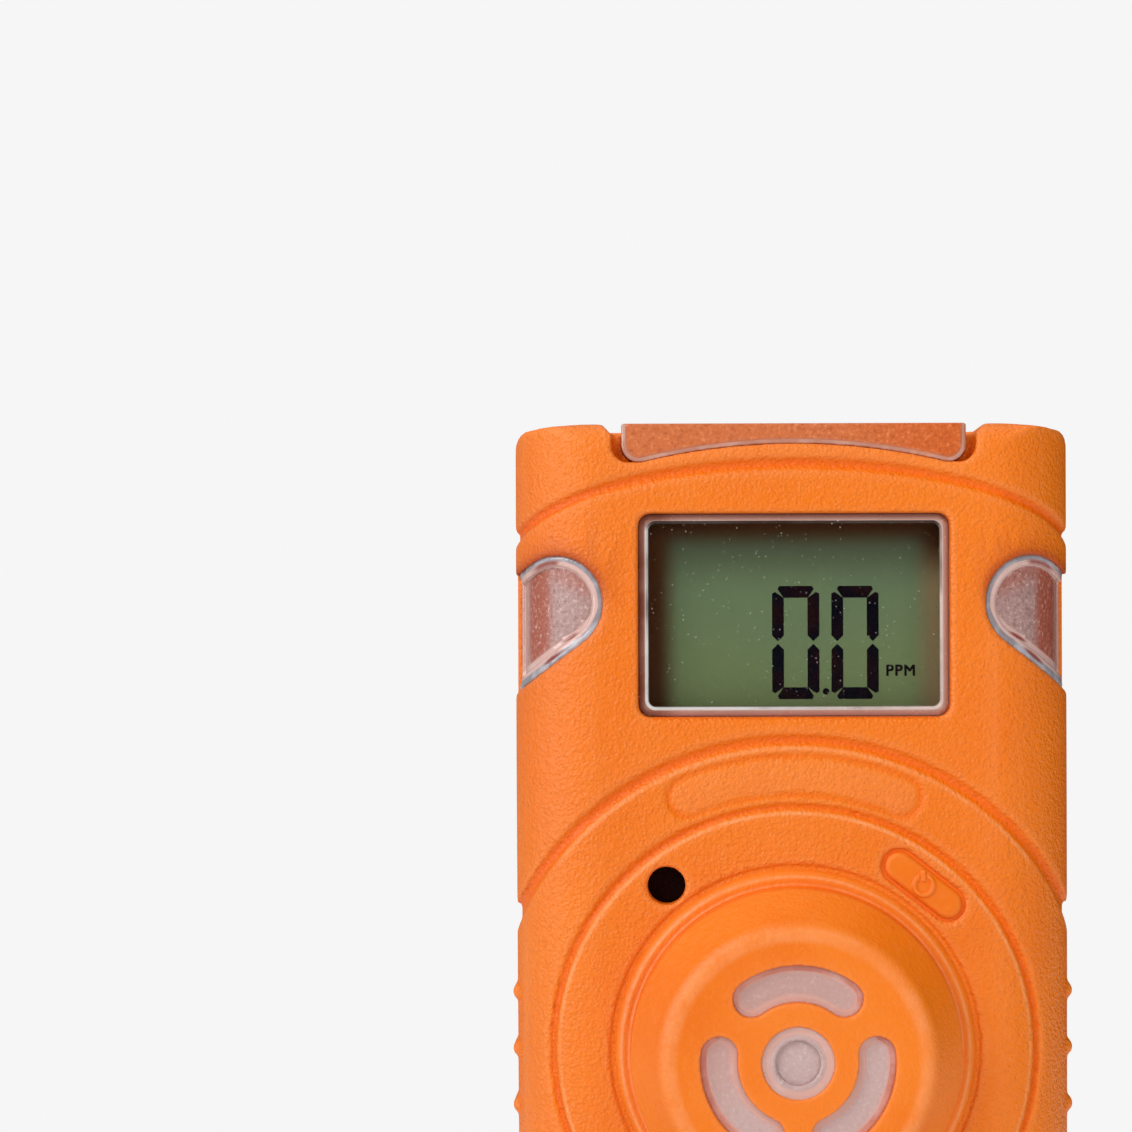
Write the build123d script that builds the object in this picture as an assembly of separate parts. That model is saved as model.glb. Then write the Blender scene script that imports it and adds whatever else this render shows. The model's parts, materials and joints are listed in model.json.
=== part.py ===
from build123d import *
from functools import cache
import math
import os

# Portable single-gas detector with a belt clip, in millimetres.
# X is the width, Y the depth (the front faces -Y), Z the height from the flat base.

# Case
HALF_WIDTH = 25.0
HALF_WIDTH_LOW = 24.7
HEIGHT = 85.0
FRONT_Y = -11.0
BACK_Y = 11.0
PARTING_Y = 1.0
WALL = 2.2
TAPER_START_Z = 60.0
BASE_CORNER = 13.0
SHOULDER_X = 18.5
SHOULDER_DROP = 0.45
SHOULDER_ROUND = 1.4
FRONT_EDGE_R = 8.0
REAR_EDGE_R = 5.0
TOP_FRONT_R = 2.5
TOP_REAR_R = 4.0
BASE_FRONT_R = 3.0
BASE_REAR_R = 4.0
GROOVE_DEPTH = 0.45
GAP = 0.05
INSIDE_FRONT = FRONT_Y + WALL
INSIDE_BACK = BACK_Y - WALL

# Front face features
SENSOR_Z = 29.9
ARC_R = 27.2
RING_R = 21.35
CAP_SEAT_R = 16.2
CAP_SEAT_DEPTH = 0.9
SENSOR_HOLE_R = 12.6
ARCH_SEMI_X = 26.6
ARCH_SEMI_Z = 9.8
ARCH_Z = 71.55
PLATE_R = 24.05
PLATE_WIDTH = 4.25
PLATE_HALF_ANGLE = 22.7
PLATE_DEPTH = 0.25
CONTROL_R = 18.3
CONTROL_ANGLE = 38.0
SOUND_HOLE_R = 1.68
SOUNDER_R = 4.5
SOUNDER_FRONT = INSIDE_FRONT + 1.3
MESH_T = 0.3
RIB_R = 0.75
RIB_X = 24.5
RIB_PITCH = 5.1
RIB_TOP_Z = 34.2
RIB_COUNT = 4
RIB_FRONT = -5.0
RIB_BACK = 6.5

# Display
DISPLAY_Z = 68.05
DISPLAY_W = 27.4
DISPLAY_H = 17.9
DISPLAY_CORNER = 1.05
WINDOW_RECESS = 0.6
WINDOW_BEVEL = 0.75
WINDOW_FLANGE_W = 31.0
WINDOW_FLANGE_H = 21.5
WINDOW_FLANGE_T = 0.8
WINDOW_FLANGE_R = 1.0
GASKET_W = 26.6
GASKET_H = 17.2
LCD_W = 30.6
LCD_H = 21.0
LCD_T = 1.8
BACKLIGHT_W = 28.0
BACKLIGHT_H = 18.0
BACKLIGHT_T = 1.0
WINDOW_BACK = INSIDE_FRONT + GAP + WINDOW_FLANGE_T
LCD_FRONT = WINDOW_BACK + 0.4
LCD_BACK = LCD_FRONT + LCD_T
LIGHT_BACK = LCD_BACK + BACKLIGHT_T

# Alarm lenses
SIDE_LENS_X = 21.0
SIDE_LENS_Z = 69.1
SIDE_LENS_R = 4.15
SIDE_LENS_RECESS = 0.55
SIDE_LENS_RIM = 0.75
TOP_LENS_HALF = 15.1
TOP_LENS_TOP = 84.9
TOP_CUT_HALF = 16.05
TOP_CUT_LOW = 81.45
TOP_CUT_MID = 83.1
TOP_TRENCH_Z = 84.0
TOP_CUT_FLARE = 0.95
TOP_LENS_BACK = -1.2
TOP_LENS_LOW = 82.0
TOP_LENS_FLANGE_HALF = 16.6
SIDE_LENS_BACK = -1.5
LENS_TAIL_X = 7.2
LENS_TAIL_DROP = 5.3

# Board
BOARD_FRONT = -4.4
BOARD_BACK = -3.2
BOARD_INSET = 3.4
CASE_BOSSES = [(-17.5, 12.0), (17.5, 12.0), (-19.4, 77.0), (19.4, 77.0)]
BOARD_POSTS = [(-19.3, 53.0), (19.3, 53.0), (0.0, 9.5)]
BOSS_R = 3.0
POST_R = 2.0
POST_HOLE_R = 0.8
CASE_SCREW_R = 1.0
CASE_HEAD_R = 2.0
BOARD_HEAD_R = 1.6
BOARD_SCREW_R = 0.75

# Button and switch
BUTTON_L = 7.9
BUTTON_W = 2.55
BUTTON_GAP = 0.3
BUTTON_PROUD = 0.15
SYMBOL_R = 1.0
SYMBOL_LINE = 0.32
SYMBOL_PROUD = 0.15
SWITCH_SIZE = 4.6
SWITCH_TOP = -6.4
PLUNGER_R = 0.9
PLUNGER_TOP = -7.0

# Sensor stack, each level a Y position
CAP_TOP = -17.3
CAP_INNER_TOP = -15.7
CAP_BASE_R = 15.8
CAP_STEP_R = 14.9
CAP_BARREL_R = 14.4
CAP_FLAT_R = 11.5
CAP_SKIRT_R = 12.5
CAP_BORE_R = 11.3
SLOT_MID_R = 6.75
SLOT_WIDTH = 3.2
SLOT_HALF_ANGLE = 36.0
HUB_R = 3.1
SENSOR_R = 10.0
SENSOR_PIN_R = 0.6
SENSOR_PIN_MID_R = 6.0
SENSOR_BACK = -5.8
FILTER_R = 9.9
FILTER_FRONT = CAP_INNER_TOP + 0.95
FILTER_BACK = FILTER_FRONT + 0.3
SENSOR_FRONT = FILTER_BACK + 0.6
CAP_SKIRT_BACK = -7.6
CAP_STEP_HEIGHT = 0.5
CAP_BARREL_HEIGHT = 2.5

# Cell and motor
CELL_X = -11.5
CELL_Y = 3.0
CELL_Z = 18.0
CELL_R = 5.25
CELL_LENGTH = 43.5
TAB_T = 0.3
MOTOR_X = 12.0
MOTOR_Y = 0.2
MOTOR_Z = 55.0
MOTOR_R = 3.0
MOTOR_LENGTH = 12.0
SHAFT_R = 0.5
WEIGHT_R = 2.7

# Belt clip
CLIP_T = 1.0
CLIP_PLATE_Z = 58.5
CLIP_PLATE_H = 37.0
CLIP_SCREW_R = 1.0
LEVER_T = 1.2
LEVER_BEND_R = 3.0
TOOTH_X = (-4.5, -1.5, 1.5, 4.5)
PIN_Y = 16.6
PIN_Z = 62.0
PIN_R = 1.25
LEVER_HALF = 6.0
EAR_HALF = 8.0
CLIP_SCREW_Z = (47.5, 72.5)
SPRING_R = 1.72
SPRING_WIRE_R = 0.36
SPRING_PITCH = 0.68
SPRING_TURNS = 6

# Label recess on the back
LABEL_Z = 21.0
LABEL_W = 30.0
LABEL_H = 13.0
LABEL_CORNER = 1.5
LABEL_DEPTH = 0.4


def slab(sketch, y0, y1):
    """A flat shape drawn in X and Z, made solid between two depths."""
    return Pos(0, y1, 0) * extrude(Plane.XZ * sketch, amount=y1 - y0)


def rod(x, z, r, y0, y1):
    return slab(Pos(x, z) * Circle(r), y0, y1)


def block(x0, x1, y0, y1, z0, z1):
    centre = Pos((x0 + x1) / 2, (y0 + y1) / 2, (z0 + z1) / 2)
    return centre * Box(x1 - x0, y1 - y0, z1 - z0)


def bar(start, end, r):
    """A round bar between two points."""
    run = Vector(end) - Vector(start)
    return extrude(Plane(origin=start, z_dir=run) * Circle(r), amount=run.length)


def ring(r_out, r_in):
    return Circle(r_out) - Circle(r_in)


def fuse(pieces):
    whole = pieces[0]
    for piece in pieces[1:]:
        whole = whole + piece
    return whole


def inset(sketch, amount):
    return offset(sketch, -amount) if amount else sketch


def outline(d=0.0):
    """Front view of the case: rounded base, slight taper, drooping shoulders."""
    foot = (HALF_WIDTH_LOW - BASE_CORNER, 0)
    side_top = (HALF_WIDTH, HEIGHT - 2.0)
    shoulder = (HALF_WIDTH - SHOULDER_ROUND, HEIGHT - SHOULDER_DROP)
    right = [
        Line((0, 0), foot),
        RadiusArc(foot, (HALF_WIDTH_LOW, BASE_CORNER), -BASE_CORNER),
        Line((HALF_WIDTH_LOW, BASE_CORNER), (HALF_WIDTH, TAPER_START_Z)),
        Line((HALF_WIDTH, TAPER_START_Z), side_top),
        ThreePointArc(side_top, (HALF_WIDTH - 0.4, HEIGHT - 1.0), shoulder),
        Line(shoulder, (SHOULDER_X, HEIGHT)),
        Line((SHOULDER_X, HEIGHT), (0, HEIGHT)),
    ]
    half = Curve() + right
    return inset(make_face(half + mirror(half, Plane.YZ)), d)


def rounded_box(x0, x1, y0, y1, radii):
    """Rectangle with its own radius at each corner, from the low left one anticlockwise."""
    corners = [(x0, y0), (x1, y0), (x1, y1), (x0, y1)]
    return make_face(FilletPolyline(*corners, radius=radii, close=True))


def section(d=0.0):
    """Plan view of the case: wide rounds at the front, smaller ones behind."""
    radii = [FRONT_EDGE_R, FRONT_EDGE_R, REAR_EDGE_R, REAR_EDGE_R]
    return inset(rounded_box(-HALF_WIDTH, HALF_WIDTH, FRONT_Y, BACK_Y, radii), d)


def profile(d=0.0):
    """Side view of the case, drawn in Y and Z."""
    radii = [BASE_FRONT_R, BASE_REAR_R, TOP_REAR_R, TOP_FRONT_R]
    return inset(rounded_box(FRONT_Y, BACK_Y, 0, HEIGHT, radii), d)


@cache
def body(d=0.0):
    """The case as a solid, or the same solid made smaller all over by d."""
    front = slab(outline(d), FRONT_Y + d, BACK_Y - d)
    plan = extrude(section(d), amount=HEIGHT)
    side = extrude(Plane.YZ * profile(d), amount=HALF_WIDTH, both=True)
    return front & plan & side


def half(solid, front=True):
    """The part of a solid in front of, or behind, the parting plane."""
    y0, y1 = (-30, PARTING_Y) if front else (PARTING_Y, 30)
    return solid & block(-40, 40, y0, y1, -5, 95)


def polar(radius, angle):
    """A point around the sensor's axis, the angle taken from straight up."""
    turn = math.radians(angle)
    return radius * math.sin(turn), SENSOR_Z + radius * math.cos(turn)


def teardrop(grow=0.0):
    """Left alarm lens from the front: a circle drawn out down to the side of the case."""
    r = SIDE_LENS_R
    low = (SIDE_LENS_X - 0.596 * r, SIDE_LENS_Z - 0.803 * r)
    high = (SIDE_LENS_X + 0.535 * r, SIDE_LENS_Z + 0.845 * r)
    tail = Polygon(
        (low[0], low[1]),
        (low[0] + LENS_TAIL_X, low[1] - LENS_TAIL_DROP),
        (high[0] + 4.0, high[1] - 2.53),
        high,
        (SIDE_LENS_X, SIDE_LENS_Z),
        align=None,
    )
    drop = Pos(SIDE_LENS_X, SIDE_LENS_Z) * Circle(r) + tail
    return mirror(offset(drop, grow) if grow else drop, Plane.YZ)


def top_cut(half_width, low, mid, top):
    """Front of the top lens: straight sides, rounded low corners, arched lower edge."""
    r = 1.6
    corner_x = half_width - r
    return make_face(
        Curve()
        + [
            Line((-half_width, top), (-half_width, low + r)),
            RadiusArc((-half_width, low + r), (-corner_x, low), -r),
            ThreePointArc((-corner_x, low), (0, mid), (corner_x, low)),
            RadiusArc((corner_x, low), (half_width, low + r), -r),
            Line((half_width, low + r), (half_width, top)),
            Line((half_width, top), (-half_width, top)),
        ]
    )


def pill(grow=0.0):
    """Power button from the front, set square to the radius it stands on."""
    x, z = polar(CONTROL_R, CONTROL_ANGLE)
    return Pos(x, z) * SlotOverall(BUTTON_L + 2 * grow, BUTTON_W + 2 * grow, -CONTROL_ANGLE)


def window_slots(grow=0.0):
    """Three arc openings in the sensor cap with three spokes between them."""
    slots = Sketch()
    for turn in (90, 210, 330):
        line = CenterArc((0, 0), SLOT_MID_R, turn - SLOT_HALF_ANGLE, 2 * SLOT_HALF_ANGLE)
        slots += SlotArc(line, SLOT_WIDTH + 2 * grow)
    return Pos(0, SENSOR_Z) * slots


def grooves():
    """Arch above the display and the two circles around the sensor."""
    arch = Ellipse(ARCH_SEMI_X + 0.5, ARCH_SEMI_Z + 0.5) - Ellipse(ARCH_SEMI_X - 0.5, ARCH_SEMI_Z - 0.5)
    upper = arch & Pos(0, 10) * Rectangle(80, 20)
    circles = ring(ARC_R + 0.5, ARC_R - 0.5) + ring(RING_R + 0.35, RING_R - 0.35)
    lines = Pos(0, ARCH_Z) * upper + Pos(0, SENSOR_Z) * circles
    return slab(lines, FRONT_Y - 1, PARTING_Y + 1) - body(GROOVE_DEPTH)


def ribs():
    """Half-round grip ribs across both sides."""
    bars = []
    for side in (-1, 1):
        for step in range(RIB_COUNT):
            x, z = side * RIB_X, RIB_TOP_Z - step * RIB_PITCH
            bars.append(rod(x, z, RIB_R, RIB_FRONT, RIB_BACK))
            bars += [Pos(x, y, z) * Sphere(RIB_R) for y in (RIB_FRONT, RIB_BACK)]
    return fuse(bars)


def top_opening(clear):
    """Room for the top lens, open at its sides in front and trenched around on top."""
    over, before = HEIGHT + 2, FRONT_Y - 1
    half_lens, back = TOP_LENS_HALF + clear, TOP_LENS_BACK + clear
    mouth = top_cut(TOP_CUT_HALF, TOP_CUT_LOW, TOP_CUT_MID, over)
    nose = top_cut(half_lens, TOP_CUT_LOW, TOP_CUT_MID, over)
    lip = (TOP_CUT_HALF, TOP_TRENCH_Z)
    flare = Polygon(lip, (lip[0] + TOP_CUT_FLARE, HEIGHT + 0.1), (lip[0], HEIGHT + 0.1), align=None)
    flares = slab(flare + mirror(flare, Plane.YZ), before, TOP_LENS_BACK + 1)
    return fuse(
        [
            slab(mouth, before, INSIDE_FRONT - 0.6),
            slab(nose, before, INSIDE_FRONT + 0.1),
            block(-half_lens, half_lens, before, back, TOP_CUT_MID, over),
            block(-half_lens, half_lens, INSIDE_FRONT, back, TOP_LENS_LOW, over),
            block(-TOP_CUT_HALF, TOP_CUT_HALF, before, TOP_LENS_BACK + 1, TOP_TRENCH_Z, over),
            flares,
        ]
    )


def seal_channel(clear):
    path = outline(0.9 - clear) - outline(1.7 + clear)
    return slab(path, PARTING_Y - 0.6 - clear, PARTING_Y + 0.6 + clear)


def front_shell():
    shell = half(body() + ribs() - grooves() - body(WALL))
    posts = [rod(x, z, BOSS_R - 0.4, INSIDE_FRONT - 0.5, PARTING_Y) for x, z in CASE_BOSSES]
    posts += [rod(x, z, POST_R, INSIDE_FRONT - 0.5, BOARD_FRONT) for x, z in BOARD_POSTS]
    shell = fuse([shell] + [post & body(1.0) for post in posts])
    cuts = [rod(x, z, CASE_SCREW_R + GAP, -7.5, PARTING_Y + 1) for x, z in CASE_BOSSES]
    cuts += [rod(x, z, POST_HOLE_R, -8.0, BOARD_FRONT + 1) for x, z in BOARD_POSTS]
    cuts.append(rod(0, SENSOR_Z, SENSOR_HOLE_R, FRONT_Y - 1, INSIDE_FRONT + 1))
    cuts.append(rod(0, SENSOR_Z, CAP_SEAT_R, FRONT_Y - 1, FRONT_Y + CAP_SEAT_DEPTH))
    cuts.append(slab(pill(BUTTON_GAP), FRONT_Y - 1, INSIDE_FRONT + 1))
    cuts.append(rod(*polar(CONTROL_R, -CONTROL_ANGLE), SOUND_HOLE_R, FRONT_Y - 1, INSIDE_FRONT + 1))
    opening = Pos(0, DISPLAY_Z) * RectangleRounded(DISPLAY_W, DISPLAY_H, DISPLAY_CORNER)
    cuts.append(slab(opening, FRONT_Y - 1, INSIDE_FRONT + 1))
    plate_line = CenterArc((0, SENSOR_Z), PLATE_R, 90 - PLATE_HALF_ANGLE, 2 * PLATE_HALF_ANGLE)
    cuts.append(slab(SlotArc(plate_line, PLATE_WIDTH), FRONT_Y - 1, FRONT_Y + PLATE_DEPTH))
    for drop in (teardrop(GAP), mirror(teardrop(GAP), Plane.YZ)):
        cuts.append(slab(drop, FRONT_Y - 1, SIDE_LENS_BACK))
    cuts.append(top_opening(GAP))
    cuts.append(seal_channel(GAP))
    for cut in cuts:
        shell = shell - cut
    return shell


def rear_shell():
    shell = half(body() + ribs() - body(WALL), front=False)
    bosses = [rod(x, z, BOSS_R, PARTING_Y, INSIDE_BACK + 0.5) for x, z in CASE_BOSSES]
    bosses += [rod(0, z, 2.8, 5.5, INSIDE_BACK + 0.5) for z in CLIP_SCREW_Z]
    shell = fuse([shell] + [boss & body(1.0) for boss in bosses])
    cuts = [rod(x, z, CASE_SCREW_R + 0.2, PARTING_Y - 1, BACK_Y) for x, z in CASE_BOSSES]
    cuts += [rod(x, z, CASE_HEAD_R + 0.3, 7.5, BACK_Y + 1) for x, z in CASE_BOSSES]
    cuts += [rod(0, z, 1.1, 6.3, BACK_Y + 1) for z in CLIP_SCREW_Z]
    recess = Pos(0, LABEL_Z) * RectangleRounded(LABEL_W, LABEL_H, LABEL_CORNER)
    cuts.append(slab(recess, BACK_Y - LABEL_DEPTH, BACK_Y + 1))
    cuts.append(seal_channel(GAP))
    for cut in cuts:
        shell = shell - cut
    return shell


def case_screws():
    """Pan-head screws that enter from the back."""
    return [
        rod(x, z, CASE_SCREW_R, -6.5, 7.6) + rod(x, z, CASE_HEAD_R, 7.5 + GAP, 9.2) for x, z in CASE_BOSSES
    ]


def display_window():
    """Clear plug with a bevelled rim, held by a flange behind the wall."""
    w, h = DISPLAY_W - 2 * GAP, DISPLAY_H - 2 * GAP
    plug = panel(w, h, DISPLAY_CORNER - GAP, FRONT_Y + WINDOW_RECESS, WINDOW_BACK)
    plug = chamfer(plug.edges().group_by(Axis.Y)[0], WINDOW_BEVEL)
    return plug + panel(WINDOW_FLANGE_W, WINDOW_FLANGE_H, WINDOW_FLANGE_R, INSIDE_FRONT + GAP, WINDOW_BACK)


def panel(w, h, corner, y0, y1):
    """A rounded plate centred on the display."""
    return slab(Pos(0, DISPLAY_Z) * RectangleRounded(w, h, corner), y0, y1)


def window_gasket():
    outer = panel(WINDOW_FLANGE_W, WINDOW_FLANGE_H, WINDOW_FLANGE_R, WINDOW_BACK, LCD_FRONT)
    return outer - panel(GASKET_W, GASKET_H, 0.8, WINDOW_BACK - 1, LCD_FRONT + 1)


def lcd_panel():
    return panel(LCD_W, LCD_H, 0.3, LCD_FRONT, LCD_BACK)


def backlight():
    return panel(BACKLIGHT_W, BACKLIGHT_H, 0.5, LCD_BACK, LIGHT_BACK)


def lcd_frame():
    outer = panel(LCD_W + 2.4, LCD_H + 2.4, 0.8, LCD_FRONT + 0.1, BOARD_FRONT)
    return outer - panel(LCD_W + 0.2, LCD_H + 0.2, 0.4, LCD_FRONT - 1, BOARD_FRONT + 1)


def contact_strips():
    """Elastomer strips between the glass and the board, above and below the backlight."""
    near, far = BACKLIGHT_H / 2 + 0.15, LCD_H / 2 - 0.1
    low = block(-13, 13, LCD_BACK, BOARD_FRONT, DISPLAY_Z - far, DISPLAY_Z - near)
    high = block(-13, 13, LCD_BACK, BOARD_FRONT, DISPLAY_Z + near, DISPLAY_Z + far)
    return [low, high]


def alarm_lens_left():
    """Wraps round the front corner, with a polished rim around a frosted face."""
    front, back = FRONT_Y - 1, SIDE_LENS_BACK - GAP
    skin = body(SIDE_LENS_RECESS) - body(WALL - 0.2)
    face = slab(teardrop(-SIDE_LENS_RIM), front, SIDE_LENS_BACK - SIDE_LENS_RIM)
    face = face - body(SIDE_LENS_RECESS + 0.4)
    neck = (body(WALL - 0.3) - body(WALL + 0.3)) & slab(teardrop(), front, back)
    flange = (body(WALL + 0.05) - body(WALL + 0.75)) & slab(teardrop(0.8), front, SIDE_LENS_BACK + 0.8)
    return (skin & slab(teardrop(), front, back)) + neck + flange - face


def alarm_lens_right():
    return mirror(alarm_lens_left(), Plane.YZ)


def alarm_lens_top():
    """Wedge with an arched lower edge in front, a deck on top and a flange under the wall."""
    low, mid, half_lens = TOP_CUT_LOW + GAP, TOP_CUT_MID + GAP, TOP_LENS_HALF
    nose = slab(top_cut(half_lens, low, mid, TOP_LENS_TOP), FRONT_Y + 0.35, INSIDE_FRONT)
    deck = block(-half_lens, half_lens, INSIDE_FRONT - 0.5, TOP_LENS_BACK, mid, TOP_LENS_TOP)
    inner = block(-half_lens, half_lens, INSIDE_FRONT + GAP, TOP_LENS_BACK, TOP_LENS_LOW + GAP, TOP_LENS_TOP)
    flange_top, flange_half = HEIGHT - WALL - GAP, TOP_LENS_FLANGE_HALF
    flange = block(
        -flange_half, flange_half, INSIDE_FRONT + 0.1, TOP_LENS_BACK + 0.6, TOP_LENS_LOW - 0.3, flange_top
    )
    return fuse([nose, deck, inner, flange])


def main_board():
    """Board with notches for the case bosses and holes for its screws and the sensor's pins."""
    board = slab(outline(BOARD_INSET), BOARD_FRONT, BOARD_BACK)
    holes = [(place, BOSS_R + 0.2) for place in CASE_BOSSES]
    holes += [(place, BOARD_SCREW_R + 0.15) for place in BOARD_POSTS]
    holes += [(place, SENSOR_PIN_R + 0.2) for place in sensor_pin_places()]
    for (x, z), r in holes:
        board = board - rod(x, z, r, BOARD_FRONT - 1, BOARD_BACK + 1)
    return board


def board_screws():
    """Screws that enter from behind the board."""
    return [
        rod(x, z, BOARD_SCREW_R, -7.5, BOARD_BACK) + rod(x, z, BOARD_HEAD_R, BOARD_BACK, BOARD_BACK + 1.0)
        for x, z in BOARD_POSTS
    ]


def board_chips():
    """Processor, amplifier, regulator, memory, coil and crystal on the back of the board."""
    places = [(6, 40, 9, 9, 1.2), (9.3, 28, 4, 4, 1.4), (-1, 52, 4, 4, 1.0), (16, 45, 5, 4, 1.1)]
    places += [(15, 30, 4.5, 4.5, 2.2), (2, 19, 6, 2.4, 1.6)]
    return [
        block(x - w / 2, x + w / 2, BOARD_BACK, BOARD_BACK + t, z - h / 2, z + h / 2)
        for x, z, w, h, t in places
    ]


def alarm_leds():
    """Four chip LEDs behind the lenses."""
    sides = [block(x - 1, x + 1, BOARD_FRONT - 1.0, BOARD_FRONT, 67.3, 69.3) for x in (-18.6, 18.6)]
    tops = [block(x - 1.2, x + 1.2, BOARD_BACK, BOARD_BACK + 1.0, 79.6, 81.0) for x in (-9, 9)]
    return sides + tops


def infrared_module():
    return block(-3, 3, BOARD_BACK, BOARD_BACK + 2.6, 77.6, 81.0)


def power_button():
    """Moulded key with a raised on/off symbol, a retaining flange and a stem."""
    x, z = polar(CONTROL_R, CONTROL_ANGLE)
    top = FRONT_Y - BUTTON_PROUD
    key = slab(pill(), top, INSIDE_FRONT + 0.2)
    key = fillet(key.edges().group_by(Axis.Y)[0], 0.45)
    flange = slab(pill(0.7), INSIDE_FRONT + 0.1, INSIDE_FRONT + 0.7)
    stem = rod(x, z, 1.1, INSIDE_FRONT + 0.6, PLUNGER_TOP - GAP)
    opening = Pos(0, SYMBOL_R) * Rectangle(0.75, 1.2)
    stroke = Pos(0, 0.85) * Rectangle(SYMBOL_LINE, 0.95)
    symbol = ring(SYMBOL_R, SYMBOL_R - SYMBOL_LINE) - opening + stroke
    return fuse([key, flange, stem, slab(Pos(x, z) * symbol, top - SYMBOL_PROUD, top + 0.2)])


def power_switch():
    x, z = polar(CONTROL_R, CONTROL_ANGLE)
    square = Pos(x, z) * RectangleRounded(SWITCH_SIZE, SWITCH_SIZE, 0.4)
    return slab(square, SWITCH_TOP, BOARD_FRONT) - rod(x, z, PLUNGER_R + GAP, SWITCH_TOP - 1, -5.3)


def switch_plunger():
    x, z = polar(CONTROL_R, CONTROL_ANGLE)
    return rod(x, z, PLUNGER_R, PLUNGER_TOP, -5.85)


def sounder():
    x, z = polar(CONTROL_R, -CONTROL_ANGLE)
    can = rod(x, z, SOUNDER_R, SOUNDER_FRONT, BOARD_FRONT)
    return can - rod(x, z, 0.9, INSIDE_FRONT, SOUNDER_FRONT + 0.6)


def sounder_gasket():
    x, z = polar(CONTROL_R, -CONTROL_ANGLE)
    return slab(Pos(x, z) * ring(SOUNDER_R - 0.3, 2.2), INSIDE_FRONT + MESH_T, SOUNDER_FRONT)


def sounder_mesh():
    return rod(*polar(CONTROL_R, -CONTROL_ANGLE), 3.2, INSIDE_FRONT, INSIDE_FRONT + MESH_T)


def cap_profile():
    """Right half of the sensor cap's section, radius against depth."""
    base = FRONT_Y + CAP_SEAT_DEPTH - GAP
    step = FRONT_Y - CAP_STEP_HEIGHT
    foot = (CAP_BASE_R, FRONT_Y + 0.25)
    brow, flat = CAP_FLAT_R + 0.75, CAP_FLAT_R - 0.9
    return make_face(
        Curve()
        + [
            Line((0, CAP_INNER_TOP), (CAP_BORE_R, CAP_INNER_TOP)),
            Line((CAP_BORE_R, CAP_INNER_TOP), (CAP_BORE_R, CAP_SKIRT_BACK)),
            Line((CAP_BORE_R, CAP_SKIRT_BACK), (CAP_SKIRT_R, CAP_SKIRT_BACK)),
            Line((CAP_SKIRT_R, CAP_SKIRT_BACK), (CAP_SKIRT_R, base)),
            Line((CAP_SKIRT_R, base), (CAP_BASE_R, base)),
            Line((CAP_BASE_R, base), foot),
            ThreePointArc(foot, (CAP_BASE_R - 0.2, FRONT_Y - 0.2), (CAP_STEP_R, step)),
            Line((CAP_STEP_R, step), (CAP_BARREL_R, step)),
            Line((CAP_BARREL_R, step), (CAP_BARREL_R, FRONT_Y - CAP_BARREL_HEIGHT)),
            Line((CAP_BARREL_R, FRONT_Y - CAP_BARREL_HEIGHT), (brow, CAP_TOP + 0.9)),
            ThreePointArc((brow, CAP_TOP + 0.9), (CAP_FLAT_R + 0.1, CAP_TOP + 0.2), (flat, CAP_TOP)),
            Line((flat, CAP_TOP), (0, CAP_TOP)),
            Line((0, CAP_TOP), (0, CAP_INNER_TOP)),
        ]
    )


def sensor_cap():
    """Turned cap with three arc slots, a hole for the hub and a snap bead round its skirt."""
    cap = Pos(0, 0, SENSOR_Z) * revolve(cap_profile(), Axis.Y)
    bead = Pos(0, SENSOR_Z) * ring(CAP_SKIRT_R + 0.45, CAP_SKIRT_R - 0.2)
    cap = cap + slab(bead, INSIDE_FRONT + 0.1, INSIDE_FRONT + 0.7)
    cap = cap - slab(window_slots(), CAP_TOP - 1, CAP_INNER_TOP + 1)
    return cap - rod(0, SENSOR_Z, HUB_R, CAP_TOP - 1, CAP_INNER_TOP + 1)


def sensor_window():
    """Clear insert whose islands stand in the cap's openings with a slit all round for the gas."""
    plate = rod(0, SENSOR_Z, 10.7, CAP_INNER_TOP + GAP, FILTER_FRONT)
    islands = slab(window_slots(-0.2), CAP_TOP + 0.75, CAP_INNER_TOP + 0.5)
    hub = rod(0, SENSOR_Z, HUB_R - 0.15, CAP_TOP + 0.35, CAP_INNER_TOP + 0.5)
    hollow = rod(0, SENSOR_Z, HUB_R - 0.85, CAP_TOP, CAP_TOP + 0.7)
    return plate + islands + hub - hollow


def dust_filter():
    return rod(0, SENSOR_Z, FILTER_R, FILTER_FRONT, FILTER_BACK)


def sensor_gasket():
    return slab(Pos(0, SENSOR_Z) * ring(FILTER_R, 7.0), FILTER_BACK, SENSOR_FRONT)


def sensor_pin_places():
    return [polar(SENSOR_PIN_MID_R, angle) for angle in (0, 120, 240)]


def gas_sensor():
    """Round cell with a gas inlet in front and three pins behind."""
    can = rod(0, SENSOR_Z, SENSOR_R, SENSOR_FRONT, SENSOR_BACK)
    can = can - rod(0, SENSOR_Z, 1.6, SENSOR_FRONT - 1, SENSOR_FRONT + 0.55)
    pins = [rod(x, z, SENSOR_PIN_R, SENSOR_BACK - 0.1, -2.6) for x, z in sensor_pin_places()]
    return fuse([can] + pins)


def sensor_holder():
    return slab(Pos(0, SENSOR_Z) * ring(11.0, SENSOR_R + 0.1), -10.5, BOARD_FRONT)


def sensor_sockets():
    tube = ring(SENSOR_PIN_R + 0.5, SENSOR_PIN_R + GAP)
    return [slab(Pos(x, z) * tube, SENSOR_BACK + 0.1, BOARD_FRONT) for x, z in sensor_pin_places()]


def upright(x, y, z, r, length):
    """A vertical cylinder that stands on a height."""
    return Pos(x, y, z) * Cylinder(r, length, align=(Align.CENTER, Align.CENTER, Align.MIN))


def battery():
    """Cylindrical cell with a raised cap at its upper end."""
    cell = upright(CELL_X, CELL_Y, CELL_Z, CELL_R, CELL_LENGTH)
    return fillet(cell.edges(), 0.5) + upright(CELL_X, CELL_Y, CELL_Z + CELL_LENGTH, 2.2, 1.0)


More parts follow.
